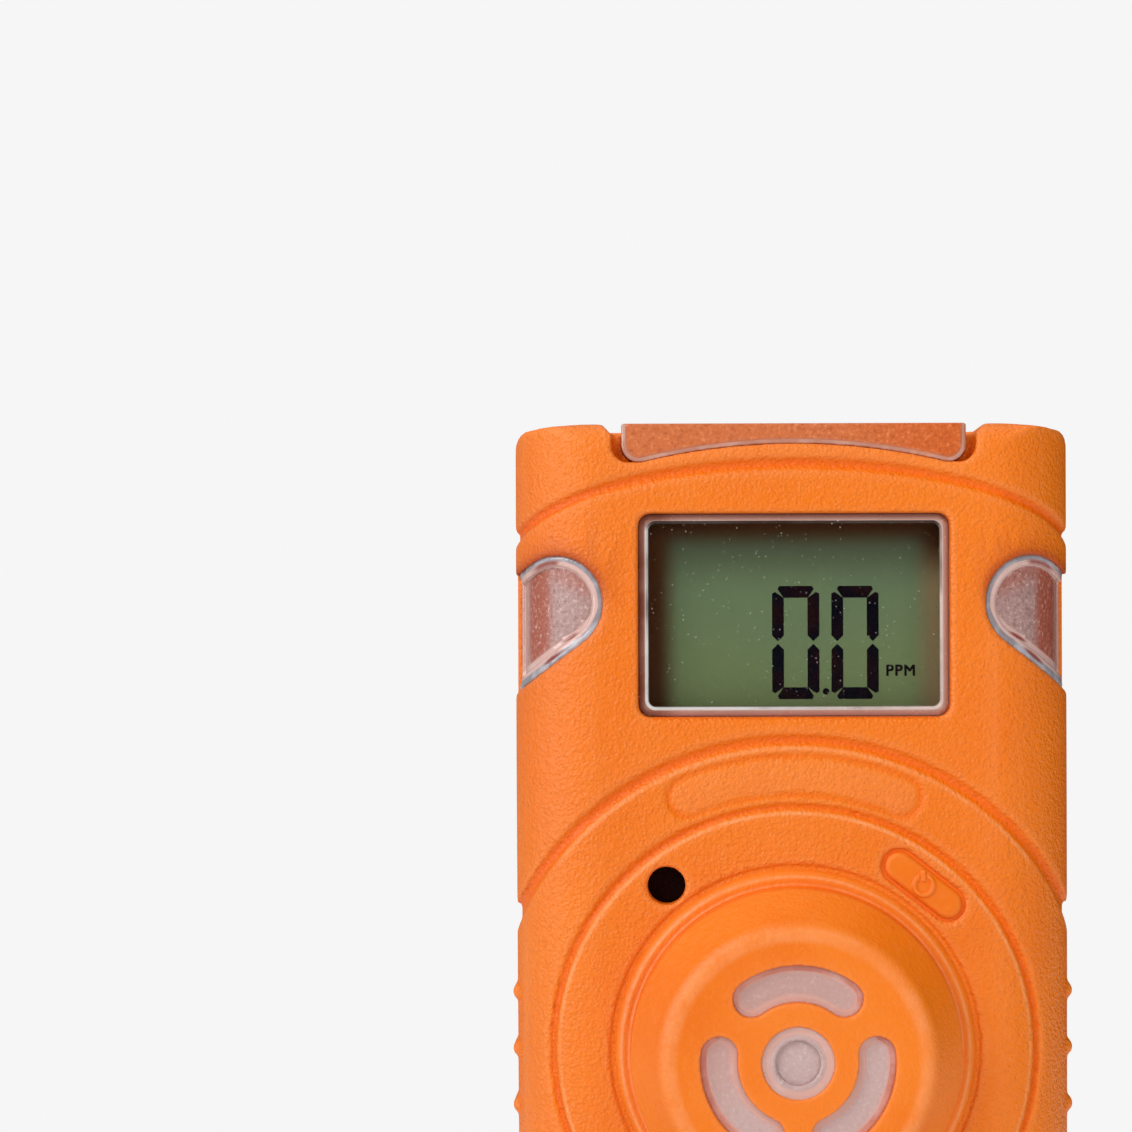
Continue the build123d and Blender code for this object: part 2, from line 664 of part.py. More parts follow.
def battery_tabs():
    """Welded nickel tabs from the ends of the cell to the board."""
    top = CELL_Z + CELL_LENGTH + 1.0
    return [
        block(CELL_X - 2, CELL_X + 2, BOARD_BACK, 5.0, top, top + TAB_T),
        block(CELL_X - 2, CELL_X + 2, BOARD_BACK, 5.0, CELL_Z - TAB_T, CELL_Z),
    ]


def battery_pad():
    return block(CELL_X - 3, CELL_X + 3, CELL_Y + CELL_R + GAP, INSIDE_BACK, 25, 55)


def vibration_motor():
    can = upright(MOTOR_X, MOTOR_Y, MOTOR_Z, MOTOR_R, MOTOR_LENGTH)
    return can - upright(MOTOR_X, MOTOR_Y, MOTOR_Z + 10.0, SHAFT_R + GAP, 3.0)


def motor_boot():
    """Rubber saddle that holds the motor on the board."""
    saddle = block(MOTOR_X - 4.2, MOTOR_X + 4.2, BOARD_BACK, 3.6, MOTOR_Z + 1.5, MOTOR_Z + 9.0)
    return saddle - upright(MOTOR_X, MOTOR_Y, MOTOR_Z - 5, MOTOR_R + 0.02, 20.0)


def vibration_weight():
    """Half-round weight on the motor's shaft."""
    shaft = upright(MOTOR_X, MOTOR_Y, MOTOR_Z + 10.3, SHAFT_R, 6.0)
    disc = upright(MOTOR_X, MOTOR_Y, MOTOR_Z + 12.6, WEIGHT_R, 3.6)
    return (disc & block(MOTOR_X - 4, MOTOR_X + 4, MOTOR_Y - 0.8, 8, 60, 80)) + shaft


def rating_label():
    face = Pos(0, LABEL_Z) * RectangleRounded(LABEL_W - 0.4, LABEL_H - 0.4, LABEL_CORNER - 0.2)
    return slab(face, BACK_Y - LABEL_DEPTH, BACK_Y - 0.1)


def across(r, length):
    """A cylinder along the clip's pin."""
    return Pos(0, PIN_Y, PIN_Z) * Rot(0, 90, 0) * Cylinder(r, length)


def clip_base():
    """Steel plate on the back with two ears for the pin."""
    face = Pos(0, CLIP_PLATE_Z) * RectangleRounded(2 * EAR_HALF, CLIP_PLATE_H, 2.0)
    plate = slab(face, BACK_Y, BACK_Y + CLIP_T)
    ear_face = Pos(PIN_Y, PIN_Z) * Circle(2.6) + Polygon(
        (BACK_Y + 0.5, PIN_Z - 4.5),
        (PIN_Y, PIN_Z - 2.6),
        (PIN_Y, PIN_Z + 2.6),
        (BACK_Y + 0.5, PIN_Z + 4.5),
        align=None,
    )
    ear = extrude(Plane.YZ * ear_face, amount=CLIP_T)
    base = fuse([plate, Pos(-EAR_HALF, 0, 0) * ear, Pos(EAR_HALF - CLIP_T, 0, 0) * ear])
    base = base - across(PIN_R, 40)
    for z in CLIP_SCREW_Z:
        sink = Pos(0, BACK_Y + CLIP_T / 2, z) * Rot(-90, 0, 0) * Cone(1.3, 2.3, CLIP_T)
        base = base - rod(0, z, CLIP_SCREW_R + 0.3, BACK_Y - 1, BACK_Y + 2) - sink
    return base


def lever_spine():
    """Side view of the clip lever: thumb plate, straight back, jaw bent in to the base plate."""
    line = [(20.9, 79.5), (19.6, 70.0), (19.4, 58.0), (18.4, 47.0), (13.6, 40.6)]
    return FilletPolyline(*line, radius=LEVER_BEND_R)


def clip_lever():
    """Stamped lever with two lugs around the pin and teeth at the jaw's tip."""
    strip = trace(lever_spine(), LEVER_T)
    plate = extrude(Plane.YZ * strip, amount=LEVER_HALF, both=True)
    lug_face = Pos(PIN_Y, PIN_Z) * Circle(2.5) + Polygon(
        (PIN_Y, PIN_Z - 2.5), (19.4, PIN_Z - 4.5), (19.4, PIN_Z + 4.5), (PIN_Y, PIN_Z + 2.5), align=None
    )
    lug = extrude(Plane.YZ * lug_face, amount=CLIP_T)
    lever = fuse([plate, Pos(-LEVER_HALF, 0, 0) * lug, Pos(LEVER_HALF - CLIP_T, 0, 0) * lug])
    lever = lever - across(PIN_R + GAP, 40)
    for x in TOOTH_X:
        lever = lever - Pos(x, 13.2, 40.2) * Rot(0, 0, 45) * Box(1.2, 1.2, 4)
    return lever


def clip_pin():
    """Riveted pin with a head outside each ear."""
    shank = across(PIN_R, 2 * EAR_HALF + 1.0)
    heads = [Pos(x, 0, 0) * across(1.9, 0.6) for x in (-EAR_HALF - 0.3, EAR_HALF + 0.3)]
    return fuse([shank] + heads)


def clip_spring():
    """Torsion spring: a coil around the pin and a leg on the base plate and on the lever."""
    reach = SPRING_PITCH * (SPRING_TURNS - 1) / 2
    places = [-reach + n * SPRING_PITCH for n in range(SPRING_TURNS)]
    rings = [Pos(x, PIN_Y, PIN_Z) * Rot(0, 90, 0) * Torus(SPRING_R, SPRING_WIRE_R) for x in places]
    lever_leg = bar((reach, PIN_Y + SPRING_R, PIN_Z), (reach, PIN_Y + SPRING_R, PIN_Z + 8), SPRING_WIRE_R)
    base_leg = bar((-reach, PIN_Y - SPRING_R, PIN_Z), (-reach, BACK_Y + 1.5, PIN_Z + 7), SPRING_WIRE_R)
    return fuse(rings + [lever_leg, base_leg])


def clip_screws():
    """Countersunk screws through the base plate, flush with it."""
    screws = []
    for z in CLIP_SCREW_Z:
        head = Pos(0, BACK_Y + CLIP_T - 0.45, z) * Rot(-90, 0, 0) * Cone(1.2, 2.2, 0.9)
        screws.append(rod(0, z, CLIP_SCREW_R, 6.6, BACK_Y + 0.5) + head)
    return screws


def case_seal():
    return seal_channel(0)


PARTS = [
    front_shell, rear_shell, case_seal, case_screws, display_window, window_gasket, lcd_panel, lcd_frame,
    backlight, contact_strips, alarm_lens_top, alarm_lens_left, alarm_lens_right, main_board, board_screws,
    board_chips, alarm_leds, infrared_module, power_button, power_switch, switch_plunger, sounder,
    sounder_gasket, sounder_mesh, sensor_cap, sensor_window, dust_filter, sensor_gasket, gas_sensor,
    sensor_holder, sensor_sockets, battery, battery_tabs, battery_pad, vibration_motor, motor_boot,
    vibration_weight, rating_label, clip_base, clip_lever, clip_pin, clip_spring, clip_screws,
]

os.makedirs("parts", exist_ok=True)
for make in PARTS:
    made = make()
    shape = Compound(made) if isinstance(made, list) else made
    export_step(shape, f"parts/{make.__name__}.step")
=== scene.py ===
"""Portable gas detector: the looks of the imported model, piece by piece."""

from __future__ import annotations

import json
import logging
import math
from dataclasses import dataclass
from enum import Enum
from typing import Any, Callable, Iterable

import bpy
import numpy as np
from mathutils import Matrix, Vector

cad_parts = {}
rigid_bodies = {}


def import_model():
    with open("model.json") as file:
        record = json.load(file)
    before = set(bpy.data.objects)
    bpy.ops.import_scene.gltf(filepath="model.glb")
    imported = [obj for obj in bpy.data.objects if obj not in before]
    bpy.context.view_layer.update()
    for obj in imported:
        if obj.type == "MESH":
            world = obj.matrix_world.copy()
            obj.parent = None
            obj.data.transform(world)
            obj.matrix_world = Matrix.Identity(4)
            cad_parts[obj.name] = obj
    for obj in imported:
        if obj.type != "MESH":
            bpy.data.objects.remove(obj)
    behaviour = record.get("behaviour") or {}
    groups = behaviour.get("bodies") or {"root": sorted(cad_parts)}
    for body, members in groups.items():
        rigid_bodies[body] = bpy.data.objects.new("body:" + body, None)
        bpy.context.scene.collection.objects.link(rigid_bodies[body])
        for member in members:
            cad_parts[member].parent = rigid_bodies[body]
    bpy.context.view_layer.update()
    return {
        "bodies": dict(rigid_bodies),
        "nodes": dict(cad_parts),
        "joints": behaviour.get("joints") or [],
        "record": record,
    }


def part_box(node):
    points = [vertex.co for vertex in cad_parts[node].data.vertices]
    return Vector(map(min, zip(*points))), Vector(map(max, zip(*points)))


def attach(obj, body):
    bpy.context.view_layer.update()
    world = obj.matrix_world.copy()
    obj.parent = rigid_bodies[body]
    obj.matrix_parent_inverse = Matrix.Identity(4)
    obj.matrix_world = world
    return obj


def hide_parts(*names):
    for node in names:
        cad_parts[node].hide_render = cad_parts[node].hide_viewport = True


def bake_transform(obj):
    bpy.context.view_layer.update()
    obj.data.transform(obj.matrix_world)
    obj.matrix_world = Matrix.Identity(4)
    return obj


LOG = logging.getLogger("gas_detector")

Colour = tuple[float, float, float]
Point = tuple[float, float, float]
Pair = tuple[float, float]

MM = 0.001
# The sensor's axis above the base, which the circles, the cap and the plate share.
SENSOR_Z = 29.9 * MM
# A side lens: its disc's middle (to the side, up), the disc's radius and the directions that point inwards from
# the two straight edges that touch the disc and from the line through its middle where they take over.
LENS_CENTRE = (21.0 * MM, 69.1 * MM)
LENS_R = 4.15 * MM
LENS_WAYS = ((5.3, 7.2), (-2.53, -4.0), (1.648, -1.131))


def grey(level: float) -> Colour:
    """A neutral colour."""
    return level, level, level


# ---------------------------------------------------------------- shader graph


class Value:
    """A socket in a shader graph that adds Math nodes when it is used in an expression."""

    def __init__(self, graph: "Graph", socket: bpy.types.NodeSocket) -> None:
        """Wraps one output socket.

        Args:
            graph: the material's graph that the socket belongs to.
            socket: an output socket that carries a number.
        """
        self.graph = graph
        self.socket = socket

    def _maths(self, operation: str, *terms: Any, clamp: bool = False) -> "Value":
        """Adds one Math node over these terms and returns its result."""
        inputs = dict(enumerate(terms))
        node = self.graph.node("ShaderNodeMath", {"operation": operation, "use_clamp": clamp}, inputs)
        return Value(self.graph, node.outputs[0])

    def __add__(self, other: Any) -> "Value":
        """Sum."""
        return self._maths("ADD", self, other)

    def __sub__(self, other: Any) -> "Value":
        """Difference."""
        return self._maths("SUBTRACT", self, other)

    def __rsub__(self, other: Any) -> "Value":
        """Difference, with this value taken away."""
        return self._maths("SUBTRACT", other, self)

    def __mul__(self, other: Any) -> "Value":
        """Product."""
        return self._maths("MULTIPLY", self, other)

    def __truediv__(self, other: Any) -> "Value":
        """Quotient."""
        return self._maths("DIVIDE", self, other)

    def __pow__(self, other: Any) -> "Value":
        """Power."""
        return self._maths("POWER", self, other)

    __radd__ = __add__
    __rmul__ = __mul__

    def clamped(self) -> "Value":
        """This value held between 0 and 1."""
        return self._maths("ADD", self, 0.0, clamp=True)

    def size(self) -> "Value":
        """This value without its sign."""
        return self._maths("ABSOLUTE", self)

    def most(self, other: Any) -> "Value":
        """The larger of two values."""
        return self._maths("MAXIMUM", self, other)

    def least(self, other: Any) -> "Value":
        """The smaller of two values."""
        return self._maths("MINIMUM", self, other)

    def fraction(self) -> "Value":
        """What is left of this value above a whole number."""
        return self._maths("FRACT", self)

    def swing(self, span: float) -> "Value":
        """This value folded back and forth between 0 and a span."""
        return self._maths("PINGPONG", self, span)

    def step(self, low: float, high: float) -> "Value":
        """A smooth rise from 0 to 1 as this value goes from low to high.

        Args:
            low: where the rise starts.
            high: where it ends; it may be the smaller number, for a fall.

        Returns:
            The mask.
        """
        settings = {"interpolation_type": "SMOOTHSTEP"}
        inputs = {"Value": self, "From Min": low, "From Max": high}
        return Value(self.graph, self.graph.node("ShaderNodeMapRange", settings, inputs).outputs[0])


class Graph:
    """The nodes of one material, or of the world."""

    def __init__(self, name: str, world: bool = False) -> None:
        """Starts a material or a world with an empty graph.

        Args:
            name: its name.
            world: whether it is the world.
        """
        self.made = (bpy.data.worlds if world else bpy.data.materials).new(name)
        self.made.use_nodes = True
        self.tree = self.made.node_tree
        self.tree.nodes.clear()
        self.output = self.tree.nodes.new("ShaderNodeOutputWorld" if world else "ShaderNodeOutputMaterial")
        places = self.node("ShaderNodeTexCoord", {}, {})
        self.place = places.outputs["Object"]
        self.way = places.outputs["Generated"]

    def node(self, kind: str, settings: dict[str, Any], inputs: dict[Any, Any]) -> bpy.types.Node:
        """Adds one node.

        Args:
            kind: the node's type.
            settings: the node's properties, set before its sockets.
            inputs: values or links by socket name or number.

        Returns:
            The node.
        """
        made = self.tree.nodes.new(kind)
        for name, value in settings.items():
            setattr(made, name, value)
        for name, value in inputs.items():
            self.feed(made.inputs[name], value)
        return made

    def feed(self, socket: bpy.types.NodeSocket, value: Any) -> None:
        """Links or sets one input socket."""
        if isinstance(value, Value):
            self.tree.links.new(value.socket, socket)
        elif isinstance(value, bpy.types.NodeSocket):
            self.tree.links.new(value, socket)
        elif isinstance(value, tuple) and len(value) == 3 and socket.type == "RGBA":
            socket.default_value = (*value, 1.0)
        else:
            socket.default_value = value

    def axis(self) -> tuple[Value, Value, Value]:
        """The place on the object along X, Y and Z, in metres."""
        parts = self.node("ShaderNodeSeparateXYZ", {}, {0: self.place})
        return tuple(Value(self, socket) for socket in parts.outputs)

    def noise(self, scale: float, detail: float = 2.0, roughness: float = 0.5,
              stretch: Point = (1, 1, 1)) -> Value:
        """Cloudy noise.

        Args:
            scale: blobs to a metre.
            detail: octaves.
            roughness: how strong the finer octaves are.
            stretch: scale along each axis, for a directional grain.

        Returns:
            The noise, from 0 to 1.
        """
        place = self.node("ShaderNodeMapping", {}, {"Vector": self.place, "Scale": stretch}).outputs[0]
        inputs = {"Vector": place, "Scale": scale, "Detail": detail, "Roughness": roughness}
        return Value(self, self.node("ShaderNodeTexNoise", {}, inputs).outputs["Fac"])

    def cells(self, scale: float, feature: str = "F1", smooth: float = 0.0) -> Value:
        """Distance in a pattern of cells."""
        inputs: dict[Any, Any] = {"Vector": self.place, "Scale": scale}
        if feature == "SMOOTH_F1":
            inputs["Smoothness"] = smooth
        made = self.node("ShaderNodeTexVoronoi", {"feature": feature}, inputs)
        return Value(self, made.outputs["Distance"])

    def attribute(self, name: str) -> Value:
        """A number stored on the mesh's points."""
        return Value(self, self.node("ShaderNodeAttribute", {"attribute_name": name}, {}).outputs["Fac"])

    def mix(self, factor: Any, first: Any, second: Any) -> bpy.types.NodeSocket:
        """A colour between two colours."""
        made = self.node("ShaderNodeMix", {"data_type": "RGBA"}, {0: factor, 6: first, 7: second})
        return made.outputs[2]

    def inset(self, x: Value, z: Value, half: Pair, corner: float) -> Value:
        """How far a place lies inside a rounded rectangle's outline.

        Args:
            x: the place across, from the rectangle's centre.
            z: the place up.
            half: half the width and half the height, in metres.
            corner: the corner radius.

        Returns:
            The distance, in metres.
        """
        over = x.size() - (half[0] - corner)
        above = z.size() - (half[1] - corner)
        out = (over.most(0.0) ** 2.0 + above.most(0.0) ** 2.0) ** 0.5
        return corner - out - over.most(above).least(0.0)

    def bump(self, height: Value, depth: float, below: Any = None) -> bpy.types.NodeSocket:
        """A normal for a relief of that depth in metres."""
        inputs = {"Height": height, "Distance": depth, "Strength": 1.0}
        if below is not None:
            inputs["Normal"] = below
        return self.node("ShaderNodeBump", {}, inputs).outputs[0]

    def principled(self, **inputs: Any) -> bpy.types.Node:
        """A Principled shader, its sockets named with underscores for spaces."""
        named = {name.replace("_", " "): value for name, value in inputs.items()}
        return self.node("ShaderNodeBsdfPrincipled", {}, named)

    def finish(self, shader: bpy.types.Node) -> Any:
        """Connects the surface and returns the material or the world."""
        self.tree.links.new(shader.outputs[0], self.output.inputs["Surface"])
        return self.made


# ---------------------------------------------------------------- finishes


@dataclass(frozen=True)
class MouldedOrange:
    """Orange moulding with a fine leather grain; its ridges are paler, partly worn and partly a painted
    highlight, and its grooves are darker with painted shade.

    Each ring is a circle round the sensor, paler where it is rubbed and where a painted highlight lies: its
    radius, half its width and its strength. The mesh's attributes "ridge", "hollow" and "shade" say where the
    colour changes; "shade" marks painted shadow over each side lens.
    """

    name: str = "moulded_orange"
    body: Colour = (0.87, 0.186, 0.002)
    shade: Colour = (0.84, 0.164, 0.001)
    rim_shadow: Colour = (0.50, 0.070, 0.0006)
    ridge: Colour = (0.93, 0.31, 0.095)
    hollow: Colour = (0.86, 0.118, 0.0006)
    grain: float = 3500.0
    grain_depth: float = 0.18 * MM
    roughness: float = 0.44
    rings: tuple[tuple[float, float, float], ...] = ()

    def make(self) -> bpy.types.Material:
        """Builds the material."""
        g = Graph(self.name)
        patch = g.noise(55, 3, 0.6).step(0.35, 0.7)
        colour = g.mix(patch, self.body, self.shade)
        speck = g.noise(1500, 2, 0.6)
        colour = g.mix(speck.step(0.45, 0.75) * 0.10, colour, self.ridge)
        # Convex edges paler: partly worn, partly a painted highlight.
        colour = g.mix(g.attribute("ridge") * 0.25, colour, self.ridge)
        # Hollows darker: painted shade in grooves and creases.
        colour = g.mix(g.attribute("hollow") * 0.7, colour, self.hollow)
        # Rubbing and painted highlight on the circles' lips.
        if self.rings:
            colour = g.mix(self.rubbed_and_highlit_lips(g), colour, self.ridge)
        # Painted shadow on the rolled edge over each side lens.
        colour = g.mix(g.attribute("shade") * 0.95, colour, self.rim_shadow)
        pebble = g.cells(self.grain, "SMOOTH_F1", 0.6)
        wrinkle = g.noise(2100, 2, 0.55)
        fine = g.noise(7000, 2, 0.5)
        relief = pebble * 0.50 + wrinkle * 0.85 + fine * 0.10
        dull = speck * 0.10 + g.noise(300, 2) * 0.08 + (self.roughness - 0.09)
        shader = g.principled(
            Base_Color=colour,
            Roughness=dull.clamped(),
            Normal=g.bump(relief, self.grain_depth),
            IOR=1.47,
            Specular_IOR_Level=0.32,
        )
        return g.finish(shader)

    def rubbed_and_highlit_lips(self, g: Graph) -> Value:
        """Lips of the circles round the sensor, paler where they are rubbed and where a painted highlight lies,
        as a mask.

        Args:
            g: the material's graph.

        Returns:
            The mask, patchy along each circle.
        """
        x, y, z = g.axis()
        z = z - SENSOR_Z
        radius = (x * x + z * z) ** 0.5
        lines = None
        patches = g.noise(420, 3, 0.7).step(0.3, 0.65) * 0.6 + 0.4
        for middle, half, strength in self.rings:
            line = (radius - middle).size().step(half, 0.25 * half) * strength
            lines = line if lines is None else lines.most(line)
        return lines * y.step(-9.8 * MM, -10.4 * MM) * patches


@dataclass(frozen=True)
class ClearPlastic:
    """Clear moulding over an orange case, frosted inside a polished border.

    It reads four attributes of the mesh: "border" is 1 at the outline and falls inwards, "frost" is 1 where
    the face is frosted, "warm" is 1 where the colour turns warmer and darker, and "pocket" is 1 in corners that
    take painted shade.
    "warm" stands for the case showing through on a side lens's outer side and for painted shadow at the top of
    each side lens and at the upper left of the inlet's slots; on the top lens it only turns the colour warmer
    towards the right.
    the face is frosted, "warm" is 1 where the case behind shows through, and "pocket" is 1 in dark corners.
    """

    name: str = "side_lens_clear"
    outer: Colour = (0.29, 0.26, 0.28)
    gleam: Colour = (0.50, 0.49, 0.53)
    inner: Colour = (0.70, 0.45, 0.40)
    frosted: Colour = (0.42, 0.245, 0.225)
    warm: Colour = (0.40, 0.080, 0.035)
    light: Colour = (0.84, 0.64, 0.58)
    dark: Colour = (0.15, 0.035, 0.022)
    pocket: Colour = (0.24, 0.016, 0.003)
    transmission: float = 0.05
    grain_depth: float = 0.07 * MM

    def make(self) -> bpy.types.Material:
        """Builds the material."""
        g = Graph(self.name)
        border, frost, warm, pocket = (g.attribute(name) for name in ("border", "frost", "warm", "pocket"))
        speck = g.noise(2600, 3, 0.75)
        face = g.mix(warm * 0.9, self.frosted, self.warm)
        face = g.mix(speck.step(0.52, 0.78) * 0.75, face, self.light)
        face = g.mix(speck.step(0.50, 0.28) * 0.60, face, self.dark)
        # Painted highlight in patches on the polished border.
        shine = g.noise(330, 2, 0.6).step(0.42, 0.66)
        edge = g.mix(border.step(0.62, 0.76), self.inner, g.mix(shine, self.outer, self.gleam))
        edge = g.mix(g.noise(520, 3, 0.7).step(0.48, 0.72) * 0.3, edge, self.light)
        # Painted shade in the marked corners.
        colour = g.mix(pocket, g.mix(frost, edge, face), self.pocket)
        relief = (g.noise(2600, 3, 0.75) + g.cells(2500, "SMOOTH_F1", 0.5) * 0.6) * frost
        shader = g.principled(
            Base_Color=colour,
            Roughness=(frost * 0.30 + g.noise(900, 2) * 0.05 + 0.07).clamped(),
            Normal=g.bump(relief + g.noise(260, 2) * 0.3, self.grain_depth),
            Transmission_Weight=self.transmission,
            IOR=1.49,
        )
        return g.finish(shader)


@dataclass(frozen=True)
class WindowPane:
    """Thin clear window: what lies behind shows through, and its cut edge carries a painted highlight.

    Its edge is a pink band, darker on the left and along the top with painted shade, and a painted highlight
    line runs inside the band from the first to the second of two distances from the outline, dimmer near the
    top.
    """

    centre: Point
    half: Pair
    name: str = "window_pane"
    corner: float = 1.5 * MM
    line: Pair = (0.56 * MM, 0.86 * MM)
    glaze: Colour = (0.90, 0.91, 0.90)
    dust: Colour = (0.62, 0.60, 0.52)
    silver: Colour = (0.66, 0.65, 0.63)
    amber: Colour = (0.68, 0.50, 0.43)
    band: Colour = (0.60, 0.39, 0.33)
    band_left: Colour = (0.30, 0.125, 0.080)
    shade: Colour = (0.16, 0.035, 0.018)

    def make(self) -> bpy.types.Material:
        """Builds the material."""
        g = Graph(self.name)
        clear = g.node("ShaderNodeBsdfTransparent", {}, {"Color": self.glaze})
        specks = g.cells(1700).step(0.20, 0.08) * g.noise(700, 2, 0.7).step(0.40, 0.60)
        x, y, z = g.axis()
        x, z = x - self.centre[0], z - self.centre[2]
        room = g.inset(x, z, self.half, self.corner)
        front = y.step(self.centre[1] + 0.2 * MM, self.centre[1] - 0.2 * MM)
        outer, inner = self.line
        # A painted highlight line along the cut edge, in patches and dimmer near the top.
        line = room.step(outer - 0.06 * MM, outer + 0.04 * MM)
        line = line * room.step(inner + 0.08 * MM, inner - 0.10 * MM)
        low = z.step(self.half[1] - 0.6 * MM, self.half[1] - 1.6 * MM)
        patches = g.noise(150, 3, 0.6).step(0.25, 0.6) * 0.5 + 0.5
        line = line * (low * 0.8 + 0.2) * patches * front
        band = room.step(outer + 0.10 * MM, outer) * front
        cut = g.mix(x.step(-5 * MM, 12 * MM) * 0.6, self.silver, self.amber)
        # Painted shade on the band's left part and along its top.
        side = g.mix(x.step(-0.92 * self.half[0], -0.7 * self.half[0]), self.band_left, self.band)
        side = g.mix(g.noise(300, 2).step(0.35, 0.7) * 0.35, side, self.amber)
        side = g.mix(z.step(self.half[1] - 0.9 * MM, self.half[1]) * 0.35, side, self.shade)
        marks = g.mix(specks, grey(0.02), self.dust)
        coat = g.principled(
            Base_Color=g.mix(line, g.mix(band, marks, side), cut),
            Roughness=(g.noise(500, 3) * 0.06 + specks * 0.3 + band * 0.2 + 0.03).clamped(),
            IOR=1.49,
            Normal=g.bump(g.noise(90, 2), 0.02 * MM),
        )
        facing = Value(g, g.node("ShaderNodeLayerWeight", {}, {"Blend": 0.5}).outputs["Facing"])
        share = (facing ** 5.0 * 0.8 + specks * 0.26 + band * 0.80 + line * 0.95 + 0.012).clamped()
        shader = g.node("ShaderNodeMixShader", {}, {0: share, 1: clear.outputs[0], 2: coat.outputs[0]})
        return g.finish(shader)


@dataclass(frozen=True)
class DisplayGlass:
    """Reflective liquid-crystal glass: green active area inside a dark brown border of painted shadow from the
    frame, lighter to the right with a painted reflection; the green is painted darker towards the top and
    lighter below.
    """

    centre: Point
    name: str = "display_glass"
    green: Colour = (0.176, 0.250, 0.140)
    green_low: Colour = (0.215, 0.275, 0.120)
    green_top: Colour = (0.115, 0.140, 0.082)
    border: Colour = (0.095, 0.028, 0.005)
    edge: Colour = (0.36, 0.27, 0.14)

    def make(self) -> bpy.types.Material:
        """Builds the material."""
        g = Graph(self.name)
        x, _, z = g.axis()
        x, z = x - self.centre[0], z - self.centre[2]
        # Where the painted shadow of the frame gives way to the lit green, on each side.
        left = x.step(-12.2 * MM, -9.8 * MM)
        right = x.step(12.8 * MM, 10.4 * MM)
        top = z.step(8.0 * MM, 5.7 * MM)
        low = z.step(-8.9 * MM, -7.8 * MM)
        lit = left * right * top * low
        # Painted shade: the green darker towards the top, lighter below.
        below = g.noise(90, 2).step(0.3, 0.7) * 0.4 + z.step(3 * MM, -8 * MM) * 0.6
        wash = g.mix(z.step(1.5 * MM, 6.5 * MM), g.mix(below, self.green, self.green_low), self.green_top)
        # The border: painted shadow, lighter to the right with a painted reflection.
        rim = g.mix(x.step(0, 12 * MM) * z.step(7 * MM, 2 * MM), self.border, self.edge)
        cloud = g.noise(900, 2) * 0.10 + 0.95
        shader = g.principled(
            Base_Color=g.mix(lit, rim, wash),
            Roughness=(cloud * 0.30).clamped(),
            IOR=1.5,
            Normal=g.bump(g.noise(5200, 2), 0.004 * MM),
            Specular_IOR_Level=0.20,
        )
        return g.finish(shader)


@dataclass(frozen=True)
class Segment:
    """Dark liquid-crystal segment, faintly brown where light slips past it."""

    name: str = "display_segment"

    def make(self) -> bpy.types.Material:
        """Builds the material."""
        g = Graph(self.name)
        tone = g.noise(420, 2).step(0.35, 0.7)
        shader = g.principled(
            Base_Color=g.mix(tone, (0.001, 0.001, 0.006), (0.016, 0.002, 0.003)),
            Roughness=(g.noise(1500, 2) * 0.1 + 0.25).clamped(),
            Normal=g.bump(g.noise(5200, 2), 0.003 * MM),
            Specular_IOR_Level=0.12,
        )
        return g.finish(shader)


@dataclass(frozen=True)
class Metal:
    """Metal with a directional grain, scratches and worn edges."""

    name: str
    colour: Colour = (0.60, 0.61, 0.63)
    dark: Colour = (0.42, 0.42, 0.43)
    roughness: float = 0.30
    grain: Point = (1.0, 1.0, 0.03)
    scale: float = 9000.0

    def make(self) -> bpy.types.Material:
        """Builds the material."""
        g = Graph(self.name)
        brushed = g.noise(self.scale, 3, 0.7, self.grain)
        smudge = g.noise(130, 3, 0.6).step(0.35, 0.75)
        scratch = g.noise(900, 1, 0.5, (0.05, 1.0, 1.4)).step(0.62, 0.68)
        colour = g.mix(brushed.step(0.3, 0.7) * 0.5 + smudge * 0.3, self.colour, self.dark)
        rough = brushed * 0.16 + smudge * 0.10 + scratch * 0.08 + (self.roughness - 0.1)
        shader = g.principled(
            Base_Color=colour,
            Metallic=1.0,
            Roughness=rough.clamped(),
            Normal=g.bump(brushed * 0.7 - scratch * 0.5, 0.004 * MM),
        )
        return g.finish(shader)


@dataclass(frozen=True)
class Plain:
    """Moulded, printed or foamed material with its own grain.

    Fields: the two colours that cloud together, how rough it is, the size and depth of its grain.
    """

    name: str
    colour: Colour
    second: Colour
    roughness: float = 0.5
    grain: float = 2400.0
    depth: float = 0.015 * MM
    clouds: float = 180.0
    metallic: float = 0.0
    coat: float = 0.0

    def make(self) -> bpy.types.Material:
        """Builds the material."""
        g = Graph(self.name)
        cloud = g.noise(self.clouds, 3, 0.6).step(0.3, 0.7)
        fine = g.noise(self.grain, 3, 0.6)
        shader = g.principled(
            Base_Color=g.mix(cloud * 0.7 + fine * 0.3, self.colour, self.second),
            Metallic=self.metallic,
            Roughness=(fine * 0.14 + cloud * 0.06 + (self.roughness - 0.08)).clamped(),
            Coat_Weight=self.coat,
            Normal=g.bump(fine + g.cells(self.grain * 0.6) * 0.5, self.depth),
        )
        return g.finish(shader)


